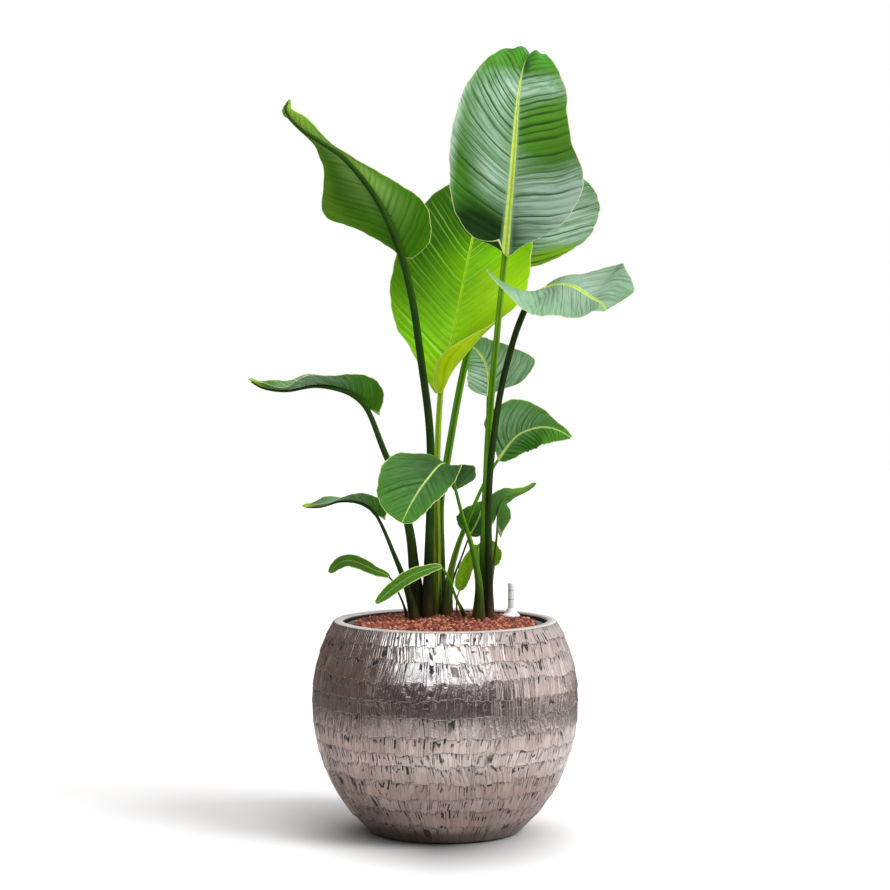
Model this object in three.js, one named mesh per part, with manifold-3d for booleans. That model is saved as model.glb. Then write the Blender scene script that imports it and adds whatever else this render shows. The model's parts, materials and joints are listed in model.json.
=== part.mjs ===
// Potted bird of paradise: a clump of long-stalked, paddle-shaped leaves that grows out of a bed
// of clay granules in a plastic liner, inside a globe pot with bands of hammered relief.
// Millimetres, +Z up. The origin is the centre of the pot's base, and -Y is the front.

import * as THREE from 'three';
import { mergeVertices } from 'three/addons/utils/BufferGeometryUtils.js';
import Module from 'manifold-3d';

const wasm = await Module();
wasm.setup();

const CLEARANCE = 0.3;

const POT = {
	height: 320,
	bellyRadius: 200,
	bellyHeight: 200,
	lowerReach: 239.5,
	upperReach: 218,
	rimInnerRadius: 154,
	rimDepth: 14,
	rimRound: 2,
	wall: 9,
	floor: 11,
	foot: 3,
	bandEdges: [301, 278, 250, 224, 199, 171, 146, 126, 102, 78, 58, 33],
	ledge: 1.3,
	segments: 40,
	innerSteps: 6,
};

const LINER = {
	top: 313,
	flangeRadius: 150,
	flangeThickness: 3,
	mouthRadius: 137,
	baseRadius: 98,
	wall: 3,
	segments: 40,
};

const BED = {
	edgeHeight: 315,
	moundHeight: 7,
	moundSpread: 60,
	moundX: 15,
	moundY: 32,
	grainRelief: 1.6,
	shoulderDrop: 6,
	edgeInset: 1,
	rings: 7,
	segments: 40,
	seed: 11,
};

const GAUGE = {
	x: 101,
	y: 64,
	top: 369,
	bottom: 265,
	tubeRadius: 4.9,
	tubeWall: 1,
	collarRadius: 13.5,
	collarTopRadius: 6.2,
	collarBase: 318.5,
	collarHeight: 11,
	seatRadius: 26,
	floatRadius: 3.2,
	floatLength: 24,
	rodRadius: 1.1,
	rodTop: 335,
	segments: 16,
};

const BLADE_THICKNESS = 0.9;

// A stalk's lowest point, its first ring above the granules and the height of its other rings.
const ROOT_Z = 255;
const COLLAR_RISE = 12;
const STALK_ROW = 80;

// A stalk thins out quickly above the granules, and the midrib evenly towards the tip.
const STALK_TAPER = 1.5;
const RIB_TAPER = 0.9;

// A blade's lobes reach back from its first third. Its margins wave out of step with each other.
const LOBE_SHARE = 0.35;
const LEFT_PHASE = 0.8;
const RIGHT_PHASE = 2.6;

// Each leaf is one spine from the granules to the tip. "stalk" are the points of the leaf stalk up
// to the blade's base and "rib" the points of the midrib from there to the tip, both in mm.
// "face" are directions that the upper face looks in, from the base to the tip. "left" and "right"
// are the blade's halves, seen on the upper face with the tip up: "width" in mm, "fold" the angle
// in degrees by which the half rises from the midrib and "curl" by how much more it turns up
// towards the margin. The lists run from the base to the tip and are denser near both ends.
// "radius" is the stalk's radius at the root, at the blade's base and at the tip.
const LEAVES = [
	{
		name: 'top',
		stalk: [
			[62, 45], [60, 44, 406], [61, 42, 475], [64, 40, 545],
			[68, 36, 630], [77, 30, 733], [90, 18, 867],
		],
		rib: [
			[97, 6, 950], [103, 0, 1025], [109, 6, 1099], [117, 28, 1146],
			[127, 66, 1166], [137, 108, 1158], [146, 146, 1128],
		],
		face: [[0, -1, 0.05], [0, -1, 0.1], [0.05, -0.8, 0.6], [0.1, 0.3, 1]],
		left: {
			width: [8, 44, 82, 97, 95, 57, 26, 16, 3],
			fold: [24, 16, 12, 8, 18, 20],
			curl: [6, 12, 14, 10, -20, -20],
			lobe: -26,
		},
		right: {
			width: [10, 34, 94, 113, 74, 47, 20, 13, 3],
			fold: [20, 14, 12, 8, 18, 20],
			curl: [20, 12, 8, 10, -10, -20],
			lobe: 0,
		},
		wave: 3, waves: 4, radius: [7.4, 4.6, 1], rows: 17, columns: 5, sides: 8,
		bladeColour: 0x3f7a45, stalkColour: 0x5f9a35,
	},
	{
		name: 'back_right',
		stalk: [
			[-3, 72], [-4, 74, 419], [-3, 78, 503], [2, 84, 548],
			[15, 98, 624], [32, 122, 707], [54, 152, 785], [83, 184, 851],
		],
		rib: [[94, 200, 901], [104, 214, 958], [118, 236, 1037]],
		face: [[0, -1, 0.1], [0, -1, 0.2], [0, -1, 0.5]],
		left: { width: [10, 46, 60, 66, 60, 40, 3], fold: [10, 5, 5], curl: [20, 10, 10], lobe: 6 },
		right: { width: [14, 84, 130, 146, 132, 66, 3], fold: [0, 0, 5], curl: [70, 10, 10], lobe: 6 },
		wave: 3, waves: 3, radius: [5.5, 3.6, 1], rows: 10, columns: 4, sides: 8,
		bladeColour: 0x3f7d43, stalkColour: 0x2c5a22,
	},
	{
		name: 'lime',
		stalk: [[-14, 50], [-14, 56, 420], [-14, 64, 504], [-11, 76, 587], [-9, 86, 657]],
		rib: [
			[-3, 91, 691], [9, 98, 732], [26, 112, 816],
			[43, 126, 898], [57, 140, 955], [70, 164, 1005],
		],
		face: [[-0.2, -1, 0.1], [-0.1, -1, 0.1], [0, -1, 0.2], [0, -1, 0.5]],
		left: { width: [6, 24, 82, 116, 86, 34, 3], fold: [0, 0, 0], curl: [5, 5, 5], lobe: 0 },
		right: {
			width: [10, 56, 92, 94, 88, 54, 3],
			fold: [40, 20, 5, 0, 0],
			curl: [190, 190, 170, 90, 15, 5, 5, 5, 5],
			lobe: 0,
		},
		wave: 3, waves: 4, radius: [7, 4.4, 1], rows: 16, columns: 5, sides: 8,
		bladeColour: 0x74a81c, stalkColour: 0x7d8f2c,
	},
	{
		name: 'upper_left',
		stalk: [
			[-26, 28], [-26, 26, 423], [-25, 22, 506], [-26, 14, 605],
			[-38, 2, 711], [-49, -8, 801], [-64, -14, 863],
		],
		rib: [
			[-97, -24, 942], [-148, -34, 1008], [-179, -40, 1030],
			[-210, -38, 1056], [-231, -28, 1081], [-230, -18, 1099],
		],
		face: [[0.3, 0.9, 0.3], [0.1, 0.9, 0.4], [-0.2, 0.7, 0.7], [0.4, 0.6, 0.6]],
		left: {
			width: [10, 50, 68, 34, 8, 8, 10, 3],
			fold: [10, 10, 30],
			curl: [20, 20, 60],
			lobe: 6,
		},
		right: {
			width: [5, 16, 54, 86, 50, 12, 10, 3],
			fold: [10, 5, 20],
			curl: [20, 20, 60],
			lobe: 0,
		},
		wave: 2, waves: 3, radius: [6, 4.6, 1], rows: 15, columns: 4, sides: 8,
		bladeColour: 0x3b6b1c, stalkColour: 0x223f12,
	},
	{
		name: 'right_arch',
		stalk: [
			[67, 26], [66, 24, 430], [66, 19, 505], [70, 8, 565],
			[80, -5, 644], [94, -18, 711], [110, -27, 764], [128, -32, 806],
		],
		rib: [[140, -42, 827], [158, -58, 840], [187, -78, 830], [215, -98, 809], [235, -116, 787]],
		face: [[-0.2, 0.6, 0.72], [0, -0.5, 0.8], [0, -0.6, 0.8], [0, -0.6, 0.8], [0, -0.6, 0.8]],
		left: { width: [3, 5, 9, 28, 60, 50, 3], fold: [0, 5, 5], curl: [10, 5, 5], lobe: 0 },
		right: { width: [24, 88, 80, 80, 66, 38, 3], fold: [10, 0, 0], curl: [40, 0, 0], lobe: 14 },
		wave: 3, waves: 3, radius: [5, 3.6, 1], rows: 14, columns: 4, sides: 8,
		bladeColour: 0x6b9470, stalkColour: 0x27331a,
	},
	{
		name: 'far_left',
		stalk: [[-41, 42], [-47, 36, 396], [-54, 28, 453], [-74, 14, 530], [-92, 4, 575], [-118, -6, 639]],
		rib: [
			[-135, -9, 656], [-153, -13, 665], [-193, -20, 672],
			[-239, -26, 665], [-273, -30, 670], [-293, -32, 682],
		],
		face: [[-0.3, 0.6, 0.8], [0, 0.3, 1], [0, 0, 1], [0, 0, 1]],
		left: { width: [8, 30, 34, 36, 30, 20, 3], fold: [26, 18, 12], curl: [20, 10, 10], lobe: 18 },
		right: { width: [8, 30, 38, 42, 28, 16, 3], fold: [10, 34, 28], curl: [10, 10, 10], lobe: 14 },
		wave: 3, waves: 4, radius: [7.4, 3.2, 0.9], rows: 13, columns: 4, sides: 8,
		bladeColour: 0x3a6a34, stalkColour: 0x16260d,
	},
	{
		name: 'front',
		stalk: [[51, 8], [51, 2, 373], [41, -10, 429], [27, -28, 475], [16, -44, 518]],
		rib: [[9, -52, 547], [-3, -66, 557], [-29, -96, 534], [-48, -112, 508], [-61, -122, 481]],
		face: [[0, 1, 0.3], [0, -0.3, 1], [0, -0.9, 0.45], [0, -0.9, 0.45], [-0.1, -0.9, 0.4]],
		left: { width: [12, 44, 40, 38, 30, 20, 3], fold: [0, 5, 5], curl: [30, 10, 10], lobe: 0 },
		right: { width: [4, 8, 28, 60, 62, 38, 3], fold: [0, 5, 5], curl: [5, 5, 5], lobe: 0 },
		wave: 3, waves: 3, radius: [7.5, 2.4, 0.9], rows: 13, columns: 4, sides: 8,
		bladeColour: 0x3f7540, stalkColour: 0x3d6b2b,
	},
	{
		name: 'low_left',
		stalk: [[-47, 16], [-59, 8, 371], [-75, -4, 415], [-103, -20, 479]],
		rib: [[-114, -23, 490], [-130, -26, 498], [-157, -30, 500], [-186, -34, 492], [-213, -36, 492]],
		face: [[-0.3, 0.6, 0.8], [0, 0.3, 1], [0, 0, 1], [0, 0, 1]],
		left: { width: [6, 22, 24, 22, 20, 14, 3], fold: [24, 16, 10], curl: [20, 10, 10], lobe: 12 },
		right: { width: [6, 20, 22, 26, 30, 16, 3], fold: [10, 20, 24], curl: [10, 10, 10], lobe: 8 },
		wave: 2, waves: 3, radius: [6.6, 2.4, 0.8], rows: 11, columns: 3, sides: 6,
		bladeColour: 0x355f2c, stalkColour: 0x1d3311,
	},
	{
		name: 'small_left',
		stalk: [[-59, 45], [-73, 40, 361], [-85, 36, 381]],
		rib: [[-106, 30, 392], [-129, 25, 404], [-147, 21, 409], [-161, 19, 403], [-175, 17, 390]],
		face: [[0.2, -1, 0.4], [0, -1, 0.6], [-0.4, -1, 0.4]],
		left: { width: [2, 6, 9, 11, 11, 7, 2], fold: [5, 5, 5], curl: [5, 5, 5], lobe: 0 },
		right: { width: [2, 5, 7, 10, 10, 6, 2], fold: [5, 5, 5], curl: [5, 5, 5], lobe: 0 },
		wave: 1, waves: 2, radius: [2, 1.4, 0.8], rows: 9, columns: 2, sides: 6,
		bladeColour: 0x3e8a20, stalkColour: 0x1d3311,
	},
	{
		name: 'small_front',
		stalk: [[29, 20], [17, 10, 351], [3, -4, 388], [-6, -8, 399]],
		rib: [[-30, -16, 395], [-52, -26, 387], [-79, -36, 369], [-103, -44, 349]],
		face: [[0, -1, 0.6], [0, -1, 0.6], [-0.2, -1, 0.4]],
		left: { width: [2, 6, 9, 11, 10, 6, 2], fold: [5, 5, 5], curl: [5, 5, 5], lobe: 0 },
		right: { width: [2, 6, 9, 11, 10, 6, 2], fold: [5, 5, 5], curl: [5, 5, 5], lobe: 0 },
		wave: 1, waves: 2, radius: [2.8, 1.8, 0.8], rows: 9, columns: 2, sides: 6,
		bladeColour: 0x3f7a45, stalkColour: 0x3f7a30,
	},
	{
		name: 'back_mid',
		stalk: [[55, 80], [57, 98, 418], [62, 118, 524], [66, 134, 600], [67, 146, 649]],
		rib: [[68, 152, 677], [62, 160, 704], [50, 170, 722], [33, 182, 733]],
		face: [[0, -1, 0], [-0.1, -1, 0.3], [-0.2, -1, 0.6]],
		left: { width: [4, 26, 34, 30, 22, 12, 3], fold: [5, 5, 5], curl: [10, 5, 5], lobe: -6 },
		right: { width: [4, 18, 48, 76, 26, 10, 3], fold: [5, 5, 5], curl: [10, 5, 5], lobe: -6 },
		wave: 3, waves: 3, radius: [3.4, 2.6, 0.9], rows: 10, columns: 3, sides: 6,
		bladeColour: 0x4f7f58, stalkColour: 0x5a9438,
	},
	{
		name: 'right_mid',
		stalk: [
			[2, 40], [8, 46, 383], [20, 54, 428], [32, 60, 458],
			[57, 74, 515], [70, 80, 538], [80, 84, 554],
		],
		rib: [[110, 84, 591], [135, 82, 611], [156, 76, 625], [175, 64, 615], [192, 54, 593]],
		face: [[0, -1, 0.2], [0, -1, 0.4], [0.2, -1, 0.6]],
		left: { width: [6, 40, 60, 26, 8, 5, 2], fold: [5, 5, 5], curl: [5, 5, 5], lobe: 4 },
		right: { width: [5, 14, 20, 34, 34, 18, 2], fold: [5, 5, 5], curl: [5, 5, 5], lobe: -4 },
		wave: 2, waves: 3, radius: [7, 2.2, 0.9], rows: 11, columns: 3, sides: 6,
		bladeColour: 0x3f6f3f, stalkColour: 0x33521f,
	},
	{
		name: 'right_small',
		stalk: [[72, 52], [71, 52, 369], [75, 53, 404], [79, 54, 443], [82, 56, 481]],
		rib: [[90, 60, 501], [105, 68, 509], [124, 76, 515], [141, 84, 524]],
		face: [[0, 1, 0], [-0.3, 0.7, 0.6], [-0.3, 0.6, 0.8]],
		left: { width: [9, 14, 15, 12, 9, 6, 2], fold: [10, 5, 20], curl: [20, 20, 80], lobe: 38 },
		right: { width: [9, 14, 15, 12, 9, 6, 2], fold: [10, 5, 20], curl: [20, 20, 80], lobe: 38 },
		wave: 1, waves: 2, radius: [3, 1.6, 0.8], rows: 10, columns: 3, sides: 6,
		bladeColour: 0x2f7a2a, stalkColour: 0x5a7a3c,
	},
	{
		name: 'inner_small',
		stalk: [[10, 72], [12, 72, 370], [26, 76, 409], [38, 80, 440]],
		rib: [[48, 84, 458], [55, 89, 474], [61, 96, 491]],
		face: [[0, -1, 0.2], [0, -1, 0.4]],
		left: { width: [4, 20, 32, 30, 20, 10, 2], fold: [5, 5], curl: [5, 5], lobe: 0 },
		right: { width: [4, 12, 18, 18, 14, 8, 2], fold: [5, 5], curl: [5, 5], lobe: 0 },
		wave: 1, waves: 2, radius: [1.8, 1.4, 0.8], rows: 8, columns: 2, sides: 6,
		bladeColour: 0x4d7a50, stalkColour: 0x1d2f14,
	},
	{
		name: 'inner_round',
		stalk: [[66, 82], [68, 82, 355], [68, 80, 392]],
		rib: [[66, 80, 407], [63, 81, 421], [60, 84, 431]],
		face: [[0, -1, 0.1], [0, -1, 0.3]],
		left: { width: [4, 18, 24, 24, 20, 12, 2], fold: [5, 5], curl: [5, 5], lobe: 0 },
		right: { width: [4, 14, 20, 22, 18, 12, 2], fold: [5, 5], curl: [5, 5], lobe: 0 },
		wave: 1, waves: 2, radius: [1.8, 1.3, 0.8], rows: 8, columns: 2, sides: 6,
		bladeColour: 0x24601a, stalkColour: 0x3a6026,
	},
	{
		name: 'young_yellow',
		stalk: [[18, 52], [18, 52, 345], [22, 52, 359]],
		rib: [[27, 51, 378], [35, 50, 399], [43, 50, 416], [49, 52, 428]],
		face: [[-0.2, -1, 0.1], [-0.2, -1, 0.1]],
		left: { width: [2, 8, 11, 11, 9, 6, 2], fold: [5, 5], curl: [5, 5], lobe: 0 },
		right: { width: [2, 8, 11, 11, 9, 6, 2], fold: [5, 5], curl: [5, 5], lobe: 0 },
		wave: 0.6, waves: 2, radius: [1.6, 1.1, 0.8], rows: 8, columns: 2, sides: 6,
		bladeColour: 0x93b01e, stalkColour: 0x8a6a34,
	},
];

// Interpolation

// Value of an evenly spaced list at "share" of its length, through a smooth curve.
function along(list, share) {
	const last = list.length - 1;
	const place = Math.min(Math.max(share, 0), 1) * last;
	const i = Math.min(Math.floor(place), last - 1);
	const f = place - i;
	const a = list[Math.max(i - 1, 0)];
	const b = list[i];
	const c = list[i + 1];
	const d = list[Math.min(i + 2, last)];
	const square = 2 * a - 5 * b + 4 * c - d;
	const cube = 3 * b - a - 3 * c + d;
	return 0.5 * (2 * b + (c - a) * f + square * f * f + cube * f * f * f);
}

function alongDirections(list, share) {
	const place = Math.min(Math.max(share, 0), 1) * (list.length - 1);
	const i = Math.min(Math.floor(place), list.length - 2);
	const from = new THREE.Vector3(...list[i]).normalize();
	const to = new THREE.Vector3(...list[i + 1]).normalize();
	return from.lerp(to, place - i).normalize();
}

// Same random sequence on every run.
function randomSequence(seed) {
	let state = seed;
	return () => {
		state = (state * 1664525 + 1013904223) % 4294967296;
		return state / 4294967296;
	};
}

// Geometry from points and triangles

function solidGeometry(points, triangles) {
	const geometry = new THREE.BufferGeometry();
	const numbers = points.flatMap((p) => [p.x, p.y, p.z]);
	geometry.setAttribute('position', new THREE.Float32BufferAttribute(numbers, 3));
	geometry.setIndex(triangles.flat());
	return geometry;
}

// Rings of equal length, joined one to the next and closed at both ends by a fan round its middle.
function ringSolid(rings) {
	const count = rings[0].length;
	const points = rings.flat();
	const triangles = [];
	for (let r = 0; r < rings.length - 1; r++) {
		for (let i = 0; i < count; i++) {
			const a = r * count + i;
			const b = r * count + (i + 1) % count;
			triangles.push([a, b, b + count], [a, b + count, a + count]);
		}
	}
	for (const [r, turn] of [[0, -1], [rings.length - 1, 1]]) {
		const middle = rings[r].reduce((sum, p) => sum.add(p), new THREE.Vector3()).divideScalar(count);
		points.push(middle);
		for (let i = 0; i < count; i++) {
			const a = r * count + i;
			const b = r * count + (i + 1) % count;
			triangles.push(turn > 0 ? [a, b, points.length - 1] : [b, a, points.length - 1]);
		}
	}
	return solidGeometry(points, triangles);
}

function toSolid(geometry) {
	const bare = geometry.clone();
	bare.deleteAttribute('normal');
	bare.deleteAttribute('uv');
	const merged = mergeVertices(bare, 1e-4);
	return new wasm.Manifold(new wasm.Mesh({
		numProp: 3,
		vertProperties: merged.attributes.position.array,
		triVerts: new Uint32Array(merged.index.array),
	}));
}

function toGeometry(solid) {
	const mesh = solid.getMesh();
	const geometry = new THREE.BufferGeometry();
	geometry.setAttribute('position', new THREE.BufferAttribute(mesh.vertProperties, 3));
	geometry.setIndex(new THREE.BufferAttribute(mesh.triVerts, 1));
	return geometry;
}

// Leaves

const SPINE_STEPS = 24;

// The smooth line of a leaf, measured along its length.
function makeSpine(leaf) {
	const [x, y] = leaf.stalk[0];
	const soilPoint = [x, y, BED.edgeHeight + BED.moundHeight];
	const corners = [[x, y, ROOT_Z], soilPoint, ...leaf.stalk.slice(1), ...leaf.rib];
	const vectors = corners.map((p) => new THREE.Vector3(...p));
	const curve = new THREE.CatmullRomCurve3(vectors, false, 'centripetal');
	const steps = SPINE_STEPS * (corners.length - 1);
	const lengths = [0];
	for (let i = 1; i <= steps; i++) {
		lengths.push(lengths[i - 1] + curve.getPoint(i / steps).distanceTo(curve.getPoint((i - 1) / steps)));
	}
	const bladeStart = lengths[SPINE_STEPS * leaf.stalk.length];
	const shareAt = (distance) => {
		let i = lengths.findIndex((length) => length > distance);
		i = i < 1 ? (distance <= 0 ? 1 : steps) : i;
		const f = (distance - lengths[i - 1]) / (lengths[i] - lengths[i - 1]);
		return Math.min(Math.max((i - 1 + f) / steps, 0), 1);
	};
	return {
		length: lengths[steps],
		bladeStart,
		soil: lengths[SPINE_STEPS],
		point: (distance) => curve.getPoint(shareAt(distance)),
		tangent: (distance) => curve.getTangent(shareAt(distance)),
	};
}

function stalkRadius(leaf, spine, distance) {
	const [root, top, tip] = leaf.radius;
	if (distance < spine.bladeStart) {
		const share = Math.max(distance - spine.soil, 0) / (spine.bladeStart - spine.soil);
		return top + (root - top) * (1 - share) ** STALK_TAPER;
	}
	const share = (distance - spine.bladeStart) / (spine.length - spine.bladeStart);
	return tip + (top - tip) * (1 - share) ** RIB_TAPER;
}

// Rings of the stalk at the given distances, kept from twisting.
function stalkRings(leaf, spine, distances, extra) {
	let across = new THREE.Vector3(0, -1, 0);
	return distances.map((distance) => {
		const middle = spine.point(distance);
		const tangent = spine.tangent(distance);
		across = across.clone().addScaledVector(tangent, -across.dot(tangent)).normalize();
		const side = new THREE.Vector3().crossVectors(tangent, across);
		const radius = (stalkRadius(leaf, spine, distance) + extra) / Math.cos(Math.PI / leaf.sides);
		const ring = [];
		for (let i = 0; i < leaf.sides; i++) {
			const angle = (i + 0.5) * 2 * Math.PI / leaf.sides;
			ring.push(middle.clone()
				.addScaledVector(across, radius * Math.cos(angle))
				.addScaledVector(side, radius * Math.sin(angle)));
		}
		return ring;
	});
}

// Distance along the spine at a share of the blade. Shares are closer together near both ends.
function bladeDistance(spine, share) {
	return spine.bladeStart + (spine.length - spine.bladeStart) * (1 - Math.cos(Math.PI * share)) / 2;
}

function stalkDistances(leaf, spine) {
	const aboveSoil = spine.soil + COLLAR_RISE;
	const distances = [0, aboveSoil];
	const stalkRows = Math.max(3, Math.round((spine.bladeStart - aboveSoil) / STALK_ROW));
	for (let i = 1; i <= stalkRows; i++) {
		distances.push(aboveSoil + (spine.bladeStart - aboveSoil) * i / stalkRows);
	}
	for (let i = 1; i < leaf.rows; i++) {
		distances.push(bladeDistance(spine, i / leaf.rows));
	}
	return distances;
}

function stalkGeometry(leaf) {
	const spine = makeSpine(leaf);
	return ringSolid(stalkRings(leaf, spine, stalkDistances(leaf, spine), 0));
}

// The hole that the stalk stands in: its buried stretch, a little wider and deeper.
function holeGeometry(leaf) {
	const spine = makeSpine(leaf);
	const rings = stalkRings(leaf, spine, stalkDistances(leaf, spine).slice(0, 3), CLEARANCE);
	for (const point of rings[0]) {
		point.z -= CLEARANCE;
	}
	return ringSolid(rings);
}

// One point of the blade's middle surface. "share" runs from the base to the tip, "across" from
// -1 at the left margin to 1 at the right one.
const CROSS_STEPS = 12;

function bladePoint(leaf, spine, share, across) {
	const distance = bladeDistance(spine, share);
	const tangent = spine.tangent(distance);
	const facing = alongDirections(leaf.face, (1 - Math.cos(Math.PI * share)) / 2);
	const normal = facing.addScaledVector(tangent, -facing.dot(tangent)).normalize();
	const right = new THREE.Vector3().crossVectors(tangent, normal);
	const half = across < 0 ? leaf.left : leaf.right;
	const degree = Math.PI / 180;
	const fold = along(half.fold, share) * degree;
	const curl = along(half.curl, share) * degree;
	const width = Math.max(along(half.width, share), 2);
	const corner = stalkRadius(leaf, spine, distance) / Math.cos(Math.PI / leaf.sides);
	const lift = corner + CLEARANCE + BLADE_THICKNESS / 2;
	const reach = Math.abs(across);
	let out = 0;
	let up = 0;
	for (let i = 0; i < CROSS_STEPS; i++) {
		const angle = fold + curl * reach * (i + 0.5) / CROSS_STEPS;
		out += Math.cos(angle) * width * reach / CROSS_STEPS;
		up += Math.sin(angle) * width * reach / CROSS_STEPS;
	}
	const phase = across < 0 ? LEFT_PHASE : RIGHT_PHASE;
	const wave = Math.sin(2 * Math.PI * leaf.waves * share + phase) * Math.sin(Math.PI * share);
	up += leaf.wave * reach * reach * wave;
	const back = half.lobe * reach * Math.max(0, 1 - share / LOBE_SHARE) ** 2;
	return spine.point(distance)
		.addScaledVector(normal, lift + up)
		.addScaledVector(right, Math.sign(across) * out)
		.addScaledVector(tangent, -back);
}

// A blade: the middle surface, moved half the thickness to both sides. Both faces are split into
// the same triangles, so they keep their distance where the blade waves.
function bladeGeometry(leaf) {
	const spine = makeSpine(leaf);
	const columns = 2 * leaf.columns;
	const grid = [];
	for (let i = 0; i <= leaf.rows; i++) {
		for (let j = 0; j <= columns; j++) {
			grid.push(bladePoint(leaf, spine, i / leaf.rows, (j - leaf.columns) / leaf.columns));
		}
	}
	const at = (i, j) => i * (columns + 1) + j;
	const upper = [];
	const lower = [];
	for (let i = 0; i <= leaf.rows; i++) {
		for (let j = 0; j <= columns; j++) {
			const ahead = grid[at(Math.min(i + 1, leaf.rows), j)];
			const behind = grid[at(Math.max(i - 1, 0), j)];
			const forward = ahead.clone().sub(behind);
			const farther = grid[at(i, Math.min(j + 1, columns))];
			const nearer = grid[at(i, Math.max(j - 1, 0))];
			const sideways = farther.clone().sub(nearer);
			const normal = new THREE.Vector3().crossVectors(sideways, forward).normalize();
			upper.push(grid[at(i, j)].clone().addScaledVector(normal, BLADE_THICKNESS / 2));
			lower.push(grid[at(i, j)].clone().addScaledVector(normal, -BLADE_THICKNESS / 2));
		}
	}
	const triangles = [];
	const under = upper.length;
	for (let i = 0; i < leaf.rows; i++) {
		for (let j = 0; j < columns; j++) {
			const a = at(i, j);
			const b = at(i, j + 1);
			const c = at(i + 1, j + 1);
			const d = at(i + 1, j);
			triangles.push([a, b, c], [a, c, d]);
			triangles.push([a + under, c + under, b + under], [a + under, d + under, c + under]);
		}
	}
	const margin = [];
	for (let j = 0; j < columns; j++) {
		margin.push(at(0, j));
	}
	for (let i = 0; i < leaf.rows; i++) {
		margin.push(at(i, columns));
	}
	for (let j = columns; j > 0; j--) {
		margin.push(at(leaf.rows, j));
	}
	for (let i = leaf.rows; i > 0; i--) {
		margin.push(at(i, 0));
	}
	margin.forEach((a, i) => {
		const b = margin[(i + 1) % margin.length];
		triangles.push([a, a + under, b + under], [a, b + under, b]);
	});
	return solidGeometry([...upper, ...lower], triangles);
}

// Pot, liner, granules and gauge

function potRadius(z) {
	const reach = z < POT.bellyHeight ? POT.lowerReach : POT.upperReach;
	return POT.bellyRadius * Math.sqrt(1 - ((z - POT.bellyHeight) / reach) ** 2);
}

// How far a band's ragged lower edge wanders up and down round the pot: waves of a height, a
// number round the pot and a shift from band to band.
const EDGE_WAVES = [[2.6, 3, 1.9], [1.8, 7, 4.1], [1.2, 13, 2.7]];

function bandWander(band, angle) {
	return EDGE_WAVES.reduce((sum, [high, count, shift]) => {
		return sum + high * Math.sin(count * angle + band * shift);
	}, 0);
}

function ringAt(radius, z, segments, heightShift = () => 0) {
	const ring = [];
	for (let i = 0; i < segments; i++) {
		const angle = 2 * Math.PI * i / segments;
		const x = radius * Math.cos(angle);
		const y = radius * Math.sin(angle);
		ring.push(new THREE.Vector3(x, y, z + heightShift(angle)));
	}
	return ring;
}

// Every band leans out to a ledge at its lower edge and starts further in below the ledge above.
function potGeometry() {
	const n = POT.segments;
	const rings = [ringAt(potRadius(0) - POT.foot, 0, n), ringAt(potRadius(POT.foot), POT.foot, n)];
	[...POT.bandEdges].reverse().forEach((edge, i) => {
		const band = POT.bandEdges.length - 1 - i;
		const wander = (angle) => bandWander(band, angle);
		rings.push(ringAt(potRadius(edge) - POT.ledge, edge - POT.ledge, n, wander));
		rings.push(ringAt(potRadius(edge) + POT.ledge, edge + POT.ledge, n, wander));
	});
	rings.push(ringAt(potRadius(POT.height), POT.height - POT.rimRound, n));
	rings.push(ringAt(potRadius(POT.height) - POT.rimRound, POT.height, n));
	rings.push(ringAt(POT.rimInnerRadius, POT.height, n));
	rings.push(ringAt(POT.rimInnerRadius, POT.height - POT.rimDepth, n));
	const innerTop = POT.height - POT.rimDepth;
	for (let i = 1; i <= POT.innerSteps; i++) {
		const z = innerTop - (innerTop - POT.floor) * i / POT.innerSteps;
		rings.push(ringAt(potRadius(z) - POT.wall, z, n));
	}
	return ringSolid(rings);
}

function linerGeometry() {
	const base = POT.floor + CLEARANCE;
	const under = LINER.top - LINER.flangeThickness;
	const profile = [
		[0, base],
		[LINER.baseRadius, base],
		[LINER.mouthRadius, under],
		[LINER.flangeRadius, under],
		[LINER.flangeRadius, LINER.top],
		[LINER.mouthRadius - LINER.wall, LINER.top],
		[LINER.baseRadius - LINER.wall, base + LINER.wall],
		[0, base + LINER.wall],
	];
	const points = profile.map(([r, z]) => new THREE.Vector2(r, z));
	return new THREE.LatheGeometry(points, LINER.segments).rotateX(Math.PI / 2);
}

function bedHeight(x, y) {
	const distance = Math.hypot(x - BED.moundX, y - BED.moundY);
	return BED.edgeHeight + BED.moundHeight * Math.exp(-((distance / BED.moundSpread) ** 2));
}

// The granules: a bed with a bumpy top and a plain hole for each stalk and for the gauge.
function bedGeometry() {
	const random = randomSequence(BED.seed);
	const base = POT.floor + 2 * CLEARANCE + LINER.wall;
	const slope = (LINER.mouthRadius - LINER.baseRadius) / (LINER.top - LINER.flangeThickness - base);
	const wallRadius = (z) => LINER.baseRadius - LINER.wall - 2 * CLEARANCE + slope * (z - base);
	const shoulder = BED.edgeHeight - BED.shoulderDrop;
	const rings = [
		ringAt(wallRadius(base), base, BED.segments),
		ringAt(wallRadius(shoulder), shoulder, BED.segments),
	];
	for (let k = BED.rings; k > 0; k--) {
		const radius = (wallRadius(shoulder) - BED.edgeInset) * k / BED.rings;
		const ring = ringAt(radius, 0, BED.segments);
		for (const point of ring) {
			const fromGauge = Math.hypot(point.x - GAUGE.x, point.y - GAUGE.y);
			const bumpy = bedHeight(point.x, point.y) + BED.grainRelief * (2 * random() - 1);
			point.z = fromGauge < GAUGE.seatRadius ? GAUGE.collarBase - CLEARANCE : bumpy;
		}
		rings.push(ring);
	}
	let solid = toSolid(ringSolid(rings));
	for (const leaf of LEAVES) {
		solid = solid.subtract(toSolid(holeGeometry(leaf)));
	}
	return toGeometry(solid.subtract(toSolid(gaugeHole())));
}

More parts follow.
